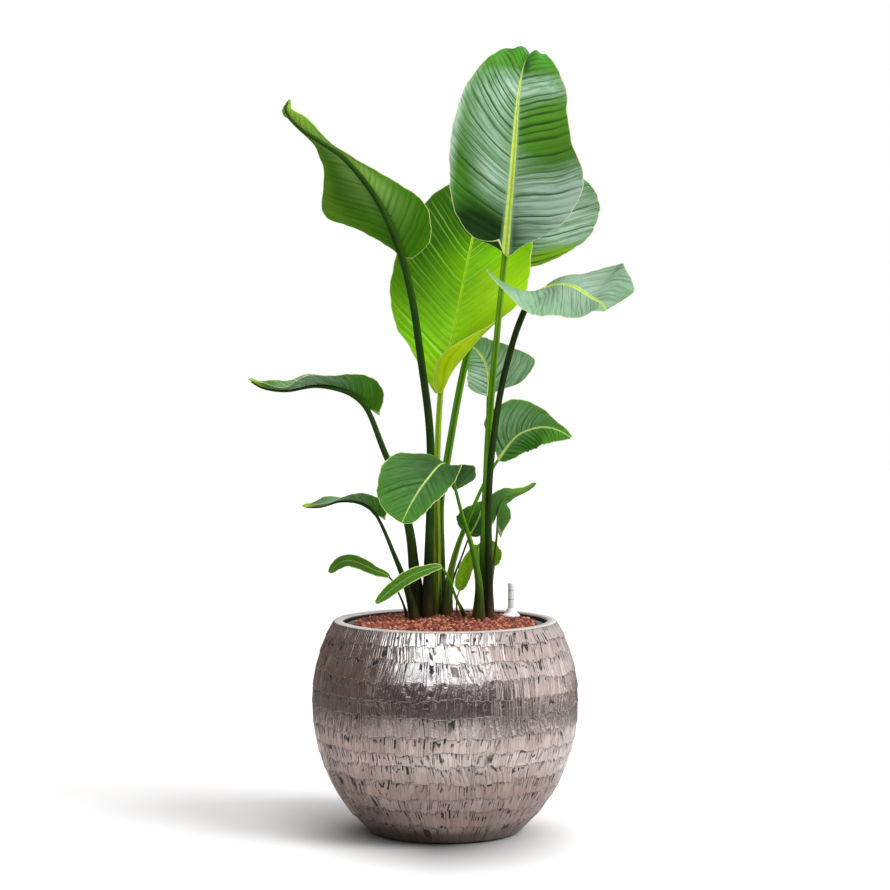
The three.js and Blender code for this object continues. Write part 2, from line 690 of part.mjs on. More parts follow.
function gaugeHole() {
	const radius = (GAUGE.tubeRadius + CLEARANCE) / Math.cos(Math.PI / GAUGE.segments);
	const depth = GAUGE.top - GAUGE.bottom + CLEARANCE;
	const hole = new THREE.CylinderGeometry(radius, radius, depth, GAUGE.segments).rotateX(Math.PI / 2);
	return hole.translate(GAUGE.x, GAUGE.y, GAUGE.bottom - CLEARANCE + depth / 2);
}

function gaugeLathe(profile) {
	const points = profile.map(([r, z]) => new THREE.Vector2(r, z));
	return new THREE.LatheGeometry(points, GAUGE.segments).rotateX(Math.PI / 2).translate(GAUGE.x, GAUGE.y, 0);
}

// Clear tube with a closed, rounded top and an open foot.
function gaugeTubeGeometry() {
	const outer = GAUGE.tubeRadius;
	const inner = outer - GAUGE.tubeWall;
	return gaugeLathe([
		[0, GAUGE.top - GAUGE.tubeWall],
		[inner, GAUGE.top - GAUGE.tubeWall],
		[inner, GAUGE.bottom],
		[outer, GAUGE.bottom],
		[outer, GAUGE.top - 1],
		[outer - 1, GAUGE.top],
		[0, GAUGE.top],
	]);
}

function gaugeCollarGeometry() {
	const hole = (GAUGE.tubeRadius + CLEARANCE) / Math.cos(Math.PI / GAUGE.segments);
	const top = GAUGE.collarBase + GAUGE.collarHeight;
	return gaugeLathe([
		[hole, GAUGE.collarBase],
		[GAUGE.collarRadius, GAUGE.collarBase],
		[GAUGE.collarRadius, GAUGE.collarBase + 1.5],
		[GAUGE.collarTopRadius + 1.5, top - 3],
		[GAUGE.collarTopRadius, top],
		[hole, top],
		[hole, GAUGE.collarBase],
	]);
}

// Float with the thin rod that shows the water level.
function gaugeFloatGeometry() {
	const foot = GAUGE.bottom;
	return gaugeLathe([
		[0, foot],
		[GAUGE.floatRadius, foot],
		[GAUGE.floatRadius, foot + GAUGE.floatLength],
		[GAUGE.rodRadius, foot + GAUGE.floatLength + 3],
		[GAUGE.rodRadius, GAUGE.rodTop],
		[0, GAUGE.rodTop],
	]);
}

// Assembly

const part = new THREE.Group();

function add(name, geometry, colour, roughness, metalness) {
	const material = new THREE.MeshStandardMaterial({ color: colour, roughness, metalness });
	const mesh = new THREE.Mesh(geometry, material);
	mesh.name = name;
	part.add(mesh);
}

add('pot', potGeometry(), 0x9c9089, 0.35, 0.9);
add('liner', linerGeometry(), 0x6c6f72, 0.5, 0);
add('granules', bedGeometry(), 0x9a4b3a, 0.9, 0);
add('gauge_tube', gaugeTubeGeometry(), 0xdfe3dc, 0.15, 0);
add('gauge_collar', gaugeCollarGeometry(), 0xe9e9e6, 0.4, 0);
add('gauge_float', gaugeFloatGeometry(), 0xd9622b, 0.4, 0);
for (const leaf of LEAVES) {
	add(`stalk_${leaf.name}`, stalkGeometry(leaf), leaf.stalkColour, 0.45, 0);
	add(`blade_${leaf.name}`, bladeGeometry(leaf), leaf.bladeColour, 0.4, 0);
}

export default part;
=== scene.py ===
# Potted bird of paradise: hammered globe pot, liner, clay granules, water gauge, leaf stalks and
# blades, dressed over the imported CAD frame. Measures of the shapes are in mm, the scene in metres.

import json
import math

import bpy
import numpy as np
from bpy.props import FloatProperty, FloatVectorProperty, IntProperty, PointerProperty
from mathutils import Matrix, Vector

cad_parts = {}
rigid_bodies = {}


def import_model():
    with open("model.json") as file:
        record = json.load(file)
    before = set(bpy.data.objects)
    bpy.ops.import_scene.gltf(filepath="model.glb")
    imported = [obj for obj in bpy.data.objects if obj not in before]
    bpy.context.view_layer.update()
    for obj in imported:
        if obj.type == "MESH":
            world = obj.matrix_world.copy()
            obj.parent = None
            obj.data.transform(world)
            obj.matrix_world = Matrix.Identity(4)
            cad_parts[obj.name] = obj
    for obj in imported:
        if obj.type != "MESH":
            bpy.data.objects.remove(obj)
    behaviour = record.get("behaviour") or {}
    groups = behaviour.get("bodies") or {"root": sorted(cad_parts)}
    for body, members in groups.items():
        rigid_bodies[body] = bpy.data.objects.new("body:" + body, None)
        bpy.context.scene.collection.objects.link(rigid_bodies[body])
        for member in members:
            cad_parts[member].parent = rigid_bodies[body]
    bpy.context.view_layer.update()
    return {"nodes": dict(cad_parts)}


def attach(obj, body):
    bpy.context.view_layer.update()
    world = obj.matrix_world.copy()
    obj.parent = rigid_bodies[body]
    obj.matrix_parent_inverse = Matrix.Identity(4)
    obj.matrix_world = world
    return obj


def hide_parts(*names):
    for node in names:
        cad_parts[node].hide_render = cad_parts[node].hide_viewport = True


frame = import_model()

bl_info = {
    "name": "Potted Bird of Paradise",
    "version": (1, 0, 0),
    "blender": (4, 5, 0),
    "location": "View3D > Sidebar > Plant",
    "description": "Makes a potted bird of paradise, its hammered globe pot and its studio stage",
    "category": "Add Mesh",
}

MM = 0.001
WHITE = (1.0, 1.0, 1.0)

# The pot's belly, the heights of its ledges from the top down, and the waves that they wander by:
# height, waves round the pot and shift
POT_HEIGHT = 320
BELLY_RADIUS = 200
BELLY_HEIGHT = 200
LOWER_REACH = 239.5
UPPER_REACH = 218
BAND_EDGES = [301, 278, 250, 224, 199, 171, 146, 126, 102, 78, 58, 33]
EDGE_WAVES = [[2.6, 3, 1.9], [1.8, 7, 4.1], [1.2, 13, 2.7]]
RIM_INNER_RADIUS = 154
RIM_DEPTH = 14
POT_WALL = 9
POT_FLOOR = 11
CLEARANCE = 0.3

# Points round the pot, the ends of its lowest and highest band, a band's lower lip as heights
# above its ledge and shares of the ledge's depth, the uneven spacing of its strokes as waves
# round it and their reach, and the measure below a ledge of places that are near none
POT_COLUMNS = 1000
POT_SEED = 7
LOWEST_BAND = 3.0
BELOW_RIM = 1.2
LIP = [[0.0, 0.85], [0.35, 1.0], [0.9, 1.0]]
STROKE_WAVES = [[5, 0.8], [11, 0.6], [23, 0.55], [41, 0.45], [67, 0.3]]
FAR_FROM_LEDGE = 40

# Gauge, granules and where the stalks start
GAUGE_X = 101
GAUGE_Y = 64
GAUGE_RINGS = [344, 357.5]
GRAIN_REACH = 136.5
PEBBLE_KINDS = [0.0, 0.35, 0.71, 1.3]
PEBBLE_SHIFT = 3.1
GRAIN_EDGE = 315
MOUND_RISE = 7
MOUND_SPREAD = 60
MOUND_X = 15
MOUND_Y = 32
ROOT_Z = 255

# How stalks and midribs thin out, and the spacing of the points along and round them
STALK_TAPER = 1.5
RIB_TAPER = 0.9
SPINE_STEPS = 24
STALK_ROW = 6
RIB_ROW = 5
STALK_SIDES = 24

# A stalk's section: angles in radians from its channel, and swellings as shares of its radius
CHANNEL_ANGLE = 0.42
EDGE_ANGLE = 0.75
EDGE_SPREAD = 0.22
EDGE_SWELL = 0.10
SHEATH_SWELL = 0.10
KNOB_SWELL = 0.03
KNOB_SPACING = 17
FOOT_SWELL = 0.28

# How blades wave and how far their lobes go, their thickness, how deep they sit in the midrib and
# the spacing of their points. The margins' waves are turns along the blade and height.
LOBE_SHARE = 0.35
LEFT_PHASE = 0.8
RIGHT_PHASE = 2.6
MARGIN_WAVES = [[19, 0.5], [43, 0.5], [90, 0.35], [170, 0.2]]
VEIN_LEAN = [0.7, 1.3]
BLADE_THICKNESS = 0.9
BLADE_SINK = 0.4
BLADE_ROW = 1.7
BLADE_COLUMN = 2.8
COLUMN_TURN = 0.42 * math.pi
CROSS_STEPS = 12

# Colours of the midribs and of the underside of the leaves with a waxy bloom
PALE_RIB = (0.45, 0.60, 0.09)
LIME_RIB = (0.36, 0.60, 0.02)
GREY_BELOW = (0.035, 0.11, 0.015)

# The stage: the camera in metres, the floor in mm, and how far the middle of the pot's painted
# contact shadow lies to the left and to the front and how far it reaches, in metres
CAMERA_PLACE = (0, -4.267, 0.798)
CAMERA_AIM = (0, 0, 0.5832)
FOCAL_LENGTH = 115.08
FLOOR_HALF = 9000
FLOOR_Z = -0.3
SHADOW_LEFT = 0.015
SHADOW_FRONT = 0.08
SHADOW_REACH = 0.31


def half(width, fold=(5, 5), curl=(5, 5), lobe=0):
    """One half of a blade from its base to its tip: its width in mm, the angle in degrees by which
    it rises from the midrib, how much more it turns up towards the margin, and how far in mm its
    foot reaches back past the blade's base."""
    return dict(width=width, fold=fold, curl=curl, lobe=lobe)


# Each leaf is one spine from the granules to the tip. "stalk" are the points of the leaf stalk up
# to the blade's base and "rib" the points of the midrib from there to the tip, both in mm.
# "face" are directions that the upper face looks in, from the base to the tip. "left" and "right"
# are the blade's halves, seen on the upper face with the tip up. "wave" is the height in mm of
# their "waves" waves, and "radius" the stalk's radius at the root, at the blade's base and at the
# tip.
LEAVES = [
    dict(
        name="top",
        stalk=[
            [62, 45], [60, 44, 406], [61, 42, 475], [64, 40, 545],
            [68, 36, 630], [77, 30, 733], [90, 18, 867],
        ],
        rib=[
            [97, 6, 950], [103, 0, 1025], [109, 6, 1099], [117, 28, 1146],
            [127, 66, 1168], [137, 108, 1158], [146, 146, 1128],
        ],
        face=[[0, -1, 0.05], [0, -1, 0.1], [0.05, -0.8, 0.6], [0.1, 0.3, 1]],
        left=half(
            [12, 54, 86, 100, 93, 51, 24, 16, 3],
            fold=[24, 16, 12, 8, 18, 20], curl=[6, 12, 14, 10, -20, -20], lobe=-26,
        ),
        right=half(
            [5, 12, 24, 54, 88, 107, 109, 89, 77, 72, 50, 25, 16, 15, 13, 9, 3],
            fold=[20, 14, 12, 8, 18, 20], curl=[20, 12, 8, 10, -10, -20],
        ),
        wave=3, waves=4, radius=[7.4, 4.6, 1],
    ),
    dict(
        name="back_right",
        stalk=[
            [-5, 72], [-7, 74, 419], [-6, 78, 503], [2, 84, 548],
            [15, 98, 624], [32, 122, 707], [54, 152, 785], [83, 184, 851],
        ],
        rib=[[94, 200, 901], [104, 214, 958], [118, 236, 1037]],
        face=[[0, -1, 0.1], [0, -1, 0.2], [0, -1, 0.5]],
        left=half([10, 46, 60, 66, 60, 40, 3], fold=[10, 5, 5], curl=[20, 10, 10], lobe=6),
        right=half([14, 78, 121, 139, 127, 62, 3], fold=[0, 0, 5], curl=[70, 10, 10], lobe=6),
        wave=3, waves=3, radius=[6.4, 5.2, 1],
    ),
    dict(
        name="lime",
        stalk=[[-14, 50], [-12, 56, 420], [-13, 64, 504], [-11, 76, 587], [-7, 86, 657]],
        rib=[
            [-3, 91, 691], [9, 98, 732], [26, 112, 816],
            [43, 126, 898], [57, 140, 955], [70, 164, 1005],
        ],
        face=[[-0.2, -1, 0.1], [-0.1, -1, 0.1], [0, -1, 0.2], [0, -1, 0.5]],
        left=half([6, 27, 90, 111, 88, 36, 3], fold=[0, 0, 0]),
        right=half(
            [10, 58, 107, 99, 88, 54, 3],
            fold=[22, 10, 0, 0, 0], curl=[190, 172, 150, 85, 15, 5, 5, 5, 5],
        ),
        wave=3, waves=4, radius=[8, 4.4, 1],
    ),
    dict(
        name="upper_left",
        stalk=[
            [-26, 28], [-24, 26, 423], [-22, 22, 506], [-23, 14, 605],
            [-36, 2, 711], [-49, -8, 801], [-64, -14, 863],
        ],
        rib=[
            [-97, -24, 942], [-148, -34, 1008], [-179, -40, 1030],
            [-215, -38, 1054], [-236, -28, 1080], [-233, -18, 1099],
        ],
        face=[[0.3, 0.9, 0.3], [0.1, 0.9, 0.4], [-0.2, 0.7, 0.7], [0.4, 0.6, 0.6]],
        left=half([10, 48, 59, 27, 7, 17, 9, 3], fold=[10, 10, 30], curl=[20, 20, 60], lobe=6),
        right=half([5, 14, 54, 93, 42, 12, 26, 5], fold=[10, 5, 20], curl=[20, 20, 60]),
        wave=2, waves=3, radius=[7, 5.4, 1],
    ),
    dict(
        name="right_arch",
        stalk=[
            [67, 26], [66, 24, 430], [66, 19, 505], [70, 8, 565],
            [80, -5, 644], [94, -18, 711], [110, -27, 764], [128, -32, 802],
        ],
        rib=[
            [142, -44, 812], [170, -66, 821], [191, -84, 817],
            [214, -102, 803], [228, -114, 795], [235, -121, 785],
        ],
        face=[
            [-0.2, 0.6, 0.72], [0, -0.5, 0.8], [0, -0.62, 0.78], [0, -0.8, 0.6], [0, -0.95, 0.4],
        ],
        left=half([2, 3, 7, 34, 72, 55, 30], fold=[0, 5, 5], curl=[10, 5, 5]),
        right=half([30, 98, 86, 81, 50, 18, 3], fold=[-8, -6, 0], curl=[66, 5, 0], lobe=14),
        wave=3, waves=3, radius=[5.6, 4.6, 1],
    ),
    dict(
        name="far_left",
        stalk=[
            [-41, 42], [-47, 36, 396], [-54, 28, 453],
            [-74, 14, 530], [-92, 4, 575], [-118, -6, 639],
        ],
        rib=[
            [-135, -9, 656], [-153, -13, 665], [-193, -20, 672],
            [-239, -26, 665], [-273, -30, 670], [-293, -32, 682],
        ],
        face=[[-0.3, 0.6, 0.8], [0, 0.3, 1], [0, 0, 1], [0, 0, 1]],
        left=half([9, 37, 34, 34, 30, 20, 3], fold=[20, 10, 6], curl=[20, 10, 10], lobe=22),
        right=half([3, 12, 30, 38, 27, 16, 3], fold=[26, 24, 20], curl=[10, 10, 10], lobe=6),
        wave=3, waves=4, radius=[10, 4.0, 0.9],
    ),
    dict(
        name="front",
        stalk=[[51, 8], [51, 2, 373], [41, -10, 429], [27, -28, 475], [16, -44, 518]],
        rib=[[9, -52, 547], [-3, -66, 557], [-29, -96, 533], [-48, -112, 505], [-63, -124, 475]],
        face=[[0, 1, 0.3], [0, -0.3, 1], [0, -0.9, 0.45], [0, -0.9, 0.45], [-0.1, -0.9, 0.4]],
        left=half([5, 34, 36, 38, 30, 20, 3], fold=[0, 5, 5], curl=[48, 10, 10]),
        right=half([4, 8, 28, 60, 62, 38, 3], fold=[0, 5, 5]),
        wave=3, waves=3, radius=[7.5, 2.4, 0.9],
    ),
    dict(
        name="low_left",
        stalk=[[-47, 16], [-59, 8, 371], [-75, -4, 415], [-103, -20, 479]],
        rib=[
            [-114, -23, 490], [-130, -26, 498], [-157, -30, 500],
            [-186, -34, 492], [-213, -36, 492],
        ],
        face=[[-0.3, 0.6, 0.8], [0, 0.3, 1], [0, 0, 1], [0, 0, 1]],
        left=half([6, 23, 22, 20, 22, 14, 3], fold=[18, 8, 4], curl=[20, 10, 10], lobe=16),
        right=half([3, 8, 18, 24, 26, 15, 3], fold=[22, 14, 14], curl=[10, 10, 10], lobe=4),
        wave=2, waves=3, radius=[6.6, 2.4, 0.8],
    ),
    dict(
        name="small_left",
        stalk=[[-59, 45], [-73, 40, 361], [-85, 36, 381]],
        rib=[[-106, 30, 391], [-129, 25, 402], [-147, 21, 407], [-161, 19, 402], [-175, 17, 389]],
        face=[[0.2, -1, 0.4], [0, -1, 0.6], [-0.4, -1, 0.4]],
        left=half([2, 6, 9, 11, 11, 7, 2]),
        right=half([2, 5, 7, 10, 10, 6, 2]),
        wave=1, waves=2, radius=[2, 1.4, 0.8],
    ),
    dict(
        name="small_front",
        stalk=[[29, 20], [17, 10, 351], [3, -4, 388], [-6, -8, 399]],
        rib=[[-30, -16, 395], [-52, -26, 387], [-79, -36, 369], [-103, -44, 349]],
        face=[[0, -1, 0.6], [0, -1, 0.6], [-0.2, -1, 0.4]],
        left=half([2, 6, 9, 11, 10, 6, 2]),
        right=half([2, 6, 9, 11, 10, 6, 2]),
        wave=1, waves=2, radius=[2.8, 1.8, 0.8],
    ),
    dict(
        name="back_mid",
        stalk=[[55, 80], [57, 98, 418], [62, 118, 524], [66, 134, 600], [67, 146, 649]],
        rib=[[68, 152, 677], [62, 160, 704], [50, 170, 722], [33, 182, 733]],
        face=[[0, -1, 0], [-0.1, -1, 0.3], [-0.2, -1, 0.6]],
        left=half([4, 26, 34, 30, 22, 12, 3], curl=[10, 5, 5], lobe=-6),
        right=half([4, 8, 18, 60, 75, 44, 28, 20, 12, 4], curl=[10, 5, 5], lobe=-6),
        wave=3, waves=3, radius=[3.4, 2.6, 0.9],
    ),
    dict(
        name="right_mid",
        stalk=[
            [2, 40], [8, 46, 383], [20, 54, 428], [32, 60, 458],
            [57, 74, 515], [70, 80, 538], [80, 84, 554],
        ],
        rib=[[110, 84, 592], [133, 80, 603], [154, 74, 606], [174, 66, 601], [192, 56, 591]],
        face=[[0, -1, 0.2], [0, -1, 0.4], [0.2, -1, 0.6]],
        left=half([4, 12, 52, 49, 15, 7, 2], lobe=-8),
        right=half([5, 14, 27, 33, 33, 17, 2], lobe=-4),
        wave=2, waves=3, radius=[7, 2.2, 0.9],
    ),
    dict(
        name="right_small",
        stalk=[[72, 52], [71, 52, 369], [75, 53, 404], [79, 54, 443], [82, 56, 481]],
        rib=[[90, 60, 497], [105, 68, 502], [124, 76, 508], [141, 84, 519]],
        face=[[0, 1, 0], [-0.3, 0.7, 0.6], [-0.3, 0.6, 0.8]],
        left=half([14, 22, 17, 12, 9, 6, 2], fold=[0, 5, 20], curl=[5, 20, 80], lobe=40),
        right=half([14, 22, 17, 12, 9, 6, 2], fold=[0, 5, 20], curl=[5, 20, 80], lobe=40),
        wave=1, waves=2, radius=[3, 1.6, 0.8],
    ),
    dict(
        name="inner_small",
        stalk=[[10, 72], [12, 72, 370], [26, 76, 409], [38, 80, 440]],
        rib=[[48, 84, 458], [55, 89, 474], [61, 96, 491]],
        face=[[0, -1, 0.2], [0, -1, 0.4]],
        left=half([4, 20, 32, 30, 20, 10, 2]),
        right=half([4, 12, 18, 18, 14, 8, 2]),
        wave=1, waves=2, radius=[1.8, 1.4, 0.8],
    ),
    dict(
        name="inner_round",
        stalk=[[66, 82], [68, 82, 355], [68, 80, 392]],
        rib=[[66, 80, 407], [63, 81, 421], [60, 84, 431]],
        face=[[0, -1, 0.1], [0, -1, 0.3]],
        left=half([4, 18, 24, 24, 20, 12, 2]),
        right=half([4, 14, 20, 22, 18, 12, 2]),
        wave=1, waves=2, radius=[1.8, 1.3, 0.8],
    ),
    dict(
        name="young_yellow",
        stalk=[[18, 52], [18, 52, 345], [22, 52, 359]],
        rib=[[27, 51, 378], [35, 50, 399], [43, 50, 416], [49, 52, 428]],
        face=[[-0.2, -1, 0.1], [-0.2, -1, 0.1]],
        left=half([2, 8, 11, 11, 9, 6, 2]),
        right=half([2, 8, 11, 11, 9, 6, 2]),
        wave=0.6, waves=2, radius=[1.6, 1.1, 0.8],
    ),
]

# How each leaf looks. "rise" is the angle in degrees by which the left and right veins lean to
# the tip, "lean" a factor on it from base to tip, "bend" how much more they lean for each mm,
# "pleat" their spacing in mm and "rib" the pale midrib's half width from the base to the tip.
# "zones" tint the blade round a place: share of the length, place across from -1 to 1, spread of
# both, then dark, lime and bloom. Dark is partly the leaf's own darker green and partly painted
# shade, and painted sheen where negative. Bloom is the waxy bloom together with painted sheen.
# "swells" are such places that bulge by a height in mm.
# "lobe_bend" is the power by which a lobe grows from the midrib out, 1 where it isn't given.
# "blade" and "stalk" name the finishes, and "finish" the blade's finish where it is
# another. "bands" tint the stalk: share of its length, spread, then dark, lime and brown.
LOOKS = {
    "top": dict(
        blade="green", stalk="green", rise=(30, 8), lean=(0.43, 2.4), bend=0.001, pleat=11,
        rib=(6, 5.0, 4.2, 3.0, 0.6, 0.3, 0.3),
        swells=[[0.75, -0.32, 0.07, 0.30, 11], [0.75, 0.36, 0.07, 0.26, 9]],
        zones=[
            [0.05, -0.65, 0.12, 0.75, 1.7, 0, -0.5],
            [0.50, -0.35, 0.17, 0.5, 0, 0, 0.6],
            [0.27, -0.35, 0.12, 0.45, 0, 0, 0.65],
            [0.26, -0.75, 0.14, 0.30, 0.25, 0, -0.35],
            [0.40, -1.0, 0.20, 0.09, 0, 0, 1.0],
            [0.22, 0.95, 0.14, 0.20, 0, 0, 0.8],
            [0.12, 0.5, 0.07, 0.5, 0, 0, 0.7],
            [0.60, 0.5, 0.06, 0.8, 0, 0, 0.7],
            [0.44, 0.7, 0.09, 0.55, -0.2, 0.08, -0.55],
            [0.21, 0.6, 0.10, 0.55, 0, 0, 1.1],
            [0.05, 0.5, 0.06, 0.7, 0.35, 0, 0.1],
            # The crest in a clear green: painted light shining through the blade
            [0.77, 0, 0.09, 2.0, 0.05, 0.05, -1.15],
            # A dark spot where the midrib ends: painted shade in a hollow
            [0.68, 0.08, 0.035, 0.12, 0.8, 0, -0.3],
        ],
        bands=[[1, 0.3, -0.2, 0.4, 0], [0.05, 0.12, 0.4, 0, 0.3]],
    ),
    "back_right": dict(
        blade="green", stalk="green", rise=(6, 12), bend=0.001, pleat=11, rib=(5, 1.6),
        zones=[[0.5, 0.5, 0.35, 0.6, 0, 0, 1.15], [0.1, 0.85, 0.12, 0.35, 0, 0.9, -0.9]],
        bands=[[0.5, 0.6, 0.3, 0, 0]],
    ),
    "lime": dict(
        blade="lime", stalk="lime", rise=(32, 42), bend=0.0015, pleat=11, rib=(2.6, 1.2),
        zones=[
            [0.65, -0.7, 0.28, 0.5, 0.45, -1.0, 0],
            [0.72, 0.15, 0.13, 0.5, 0.25, -0.6, 0],
            [0.35, 0.7, 0.35, 0.6, 0, 0.85, 0],
            [0.05, 0, 0.12, 1.5, 0, 0.6, 0],
            [0.90, 0, 0.18, 1.5, 0.2, -0.9, 0],
        ],
        bands=[[1, 0.35, -0.2, 0.6, 0], [0.25, 0.26, 0.4, -0.7, 1.0]],
    ),
    "upper_left": dict(
        blade="olive", stalk="dark", rise=(42, 48), bend=0.001, pleat=12, rib=(4.5, 1.6),
        zones=[
            # A paler band along the midrib: painted sheen
            [0.52, -0.25, 0.23, 0.42, -1.5, 0, 0.38],
            [0.45, 0.9, 0.3, 0.25, -0.25, 0.1, 0],
            [0.9, 0, 0.13, 2, -0.7, 0.5, 0],
        ],
        bands=[[0.6, 0.6, 0.35, 0, 0]],
    ),
    "right_arch": dict(
        blade="grey_green", stalk="dark", rise=(30, 34), bend=0.001, pleat=9, rib=(4, 1.5),
        zones=[[0.55, 0, 0.6, 2, 0.1, 0, 0.55], [0.7, -0.3, 0.2, 0.5, 0, 0, 0.4]],
        bands=[[0.5, 0.8, 0.5, 0, 0.1]],
    ),
    "far_left": dict(
        blade="olive", stalk="dark", rise=(38, 38), bend=0.002, pleat=9, rib=(3.2, 1.3),
        zones=[[0.5, 0, 0.25, 2, 0, -0.2, 0.45], [0.97, 0, 0.07, 2, -0.3, 0.7, -0.2]],
        bands=[[0.1, 0.2, 0.5, 0, 0.5], [0.7, 0.4, 0.1, 0, 0]],
    ),
    "front": dict(
        blade="green", stalk="green", rise=(36, 36), bend=0.002, pleat=9, rib=(1.7, 0.5),
        zones=[[0.5, 0.3, 0.35, 1, 0.25, 0, 0.12], [0.3, 0, 0.4, 2, 0.5, 0, 0.02]],
        bands=[[0.1, 0.2, 0.5, 0, 0.6]],
    ),
    "low_left": dict(
        blade="olive", stalk="dark", rise=(38, 38), bend=0.002, pleat=8, rib=(2.6, 1.1),
        zones=[[0.5, 0, 0.3, 2, 0, -0.2, 0.35], [0.95, 0, 0.08, 2, -0.2, 0.6, -0.2]],
        bands=[[0.1, 0.3, 0.4, 0, 0.5]],
    ),
    "small_left": dict(
        blade="green", stalk="dark", rise=(40, 40), bend=0.003, pleat=6, rib=(0.4, 0.2),
        zones=[[0.5, 0, 0.5, 2, 0.28, 0.1, 0]], bands=[[0.1, 0.3, 0.2, 0, 0.6]],
    ),
    "small_front": dict(
        blade="green", stalk="green", rise=(40, 40), bend=0.003, pleat=6, rib=(0.4, 0.2),
        zones=[[0.5, 0, 0.5, 2, 0.35, 0.1, 0]], bands=[[0.1, 0.3, 0.2, 0, 0.4]],
    ),
    "back_mid": dict(
        blade="grey_green", finish="pleated", stalk="green", rise=(30, 30), bend=0.002, pleat=8,
        rib=(2.4, 1),
        zones=[[0.3, -0.5, 0.4, 0.6, 0, 0, 0.85], [0.4, 0.4, 0.3, 0.5, 0.1, 0, 0.55]],
        bands=[[0.5, 0.8, 0.5, 0, 0]],
    ),
    "right_mid": dict(
        blade="green", stalk="green", rise=(34, 34), bend=0.002, pleat=8, rib=(1.9, 0.5),
        zones=[[0.35, -0.4, 0.3, 0.6, 0.1, 0, 0.3], [0.2, 0.5, 0.2, 0.6, 0.3, 0, 0]],
        bands=[[0.1, 0.3, 0.2, 0, 0.9]],
    ),
    "right_small": dict(
        blade="green", stalk="green", rise=(38, 38), bend=0.003, pleat=6, rib=(1.6, 0.8),
        lobe_bend=0.35, bands=[[0.6, 0.3, 0.1, 0, 0.9]],
        zones=[[0.0, 0, 0.3, 2, 0.5, 0, 0], [0.6, 0, 0.2, 2, 0, 0.2, 0]],
    ),
    "inner_small": dict(
        blade="green", stalk="dark", rise=(34, 34), bend=0.003, pleat=7, rib=(1.4, 0.7),
        zones=[[0.4, 0, 0.5, 2, 0.3, 0, 0]], bands=[[0.3, 0.5, 0.3, 0, 0.4]],
    ),
    "inner_round": dict(
        blade="green", stalk="green", rise=(34, 34), bend=0.003, pleat=7, rib=(1.4, 0.7),
        zones=[[0.4, 0, 0.5, 2, 0.1, 0.3, 0]], bands=[[0.3, 0.5, 0.2, 0, 0.3]],
    ),
    "young_yellow": dict(
        blade="lime", stalk="brown", rise=(50, 50), bend=0.003, pleat=6, rib=(1.1, 0.6),
        zones=[[0.4, 0, 0.5, 2, -0.2, 0.4, 0]], bands=[[0.3, 0.5, 0, 0, 0.5]],
    ),
}


# Settings that a user would change

def length_setting(name, description, default, high, low=0.0):
    return FloatProperty(
        name=name, description=description, default=default, min=low, max=high, unit="LENGTH",
    )


def colour_setting(name, description, default):
    return FloatVectorProperty(
        name=name, description=description, default=default, min=0, max=1, size=3,
        subtype="COLOR",
    )


class PotSettings(bpy.types.PropertyGroup):
    ledge: length_setting("Ledge", "How far each band stands out at its lower edge", 0.0011, 0.004)
    ragged: length_setting(
        "Ragged edge", "How far the hammered edges wander up and down", 0.0030, 0.006,
    )
    stroke_width: length_setting(
        "Stroke width", "Width of one upright hammer stroke", 0.0062, 0.02, 0.003,
    )
    stroke_relief: length_setting("Stroke relief", "How far each stroke bulges", 0.00045, 0.002)
    metal: colour_setting("Metal", "Colour of the bare metal", (0.63, 0.54, 0.505))
    patina: colour_setting(
        "Patina", "Colour of the dark film in the recesses", (0.055, 0.035, 0.028),
    )


class LinerSettings(bpy.types.PropertyGroup):
    colour: colour_setting("Plastic", "Colour of the moulded liner", (0.065, 0.072, 0.08))
    corner: length_setting("Corner radius", "Rounding of the liner's lip", 0.0011, 0.0014, 0.0002)


class GranuleSettings(bpy.types.PropertyGroup):
    spacing: length_setting(
        "Spacing", "Shortest distance between two granules", 0.0062, 0.01, 0.0033,
    )
    size: length_setting("Size", "Radius of a granule of middle size", 0.0034, 0.006, 0.001)
    seed: IntProperty(name="Seed", description="Which random layer is made", default=4, min=0)
    clay: colour_setting("Clay", "Colour of most granules", (0.205, 0.053, 0.031))


class GaugeSettings(bpy.types.PropertyGroup):
    tube: colour_setting("Tube", "Tint of the clear tube", (0.86, 0.89, 0.86))
    float_colour: colour_setting("Float", "Colour of the float and its rod", (0.78, 0.16, 0.04))


class StalkSettings(bpy.types.PropertyGroup):
    channel: FloatProperty(
        name="Channel", description="Depth of the channel along a stalk, as a share of its radius",
        default=0.34, min=0.0, max=0.5, subtype="FACTOR",
    )
    green: colour_setting("Green", "Colour of the fresh stalks", (0.048, 0.145, 0.002))
    dark: colour_setting("Dark", "Colour of the old stalks", (0.012, 0.046, 0.001))
    lime: colour_setting("Lime", "Colour of the youngest stalk", (0.15, 0.28, 0.006))
    brown: colour_setting("Brown", "Colour of the withered stalk", (0.16, 0.085, 0.04))


class BladeSettings(bpy.types.PropertyGroup):
    pleat: length_setting(
        "Pleat height", "Height of the pleats between the main veins", 0.0008, 0.002,
    )
    frill: length_setting("Frill", "How far the margins wander in and out", 0.0014, 0.005)
    green: colour_setting("Green", "Colour of the grown leaves", (0.040, 0.150, 0.010))
    olive: colour_setting(
        "Olive", "Colour of the leaves that show their underside", (0.036, 0.120, 0.008),
    )
    lime: colour_setting("Lime", "Colour of the young leaves", (0.155, 0.43, 0.000))
    grey_green: colour_setting(
        "Grey green", "Colour of the leaves with a waxy bloom", (0.10, 0.22, 0.09),
    )


class StageSettings(bpy.types.PropertyGroup):
    floor: colour_setting("Floor", "Colour of the floor", (0.66, 0.66, 0.66))
    key_strength: FloatProperty(
        name="Key light", description="Strength of the soft light from the front right",
        default=3.5, min=0.0,
    )
    top_strength: FloatProperty(
        name="Top light", description="Strength of the broad light from above and behind",
        default=0.9, min=0.0,
    )


# Mesh helpers

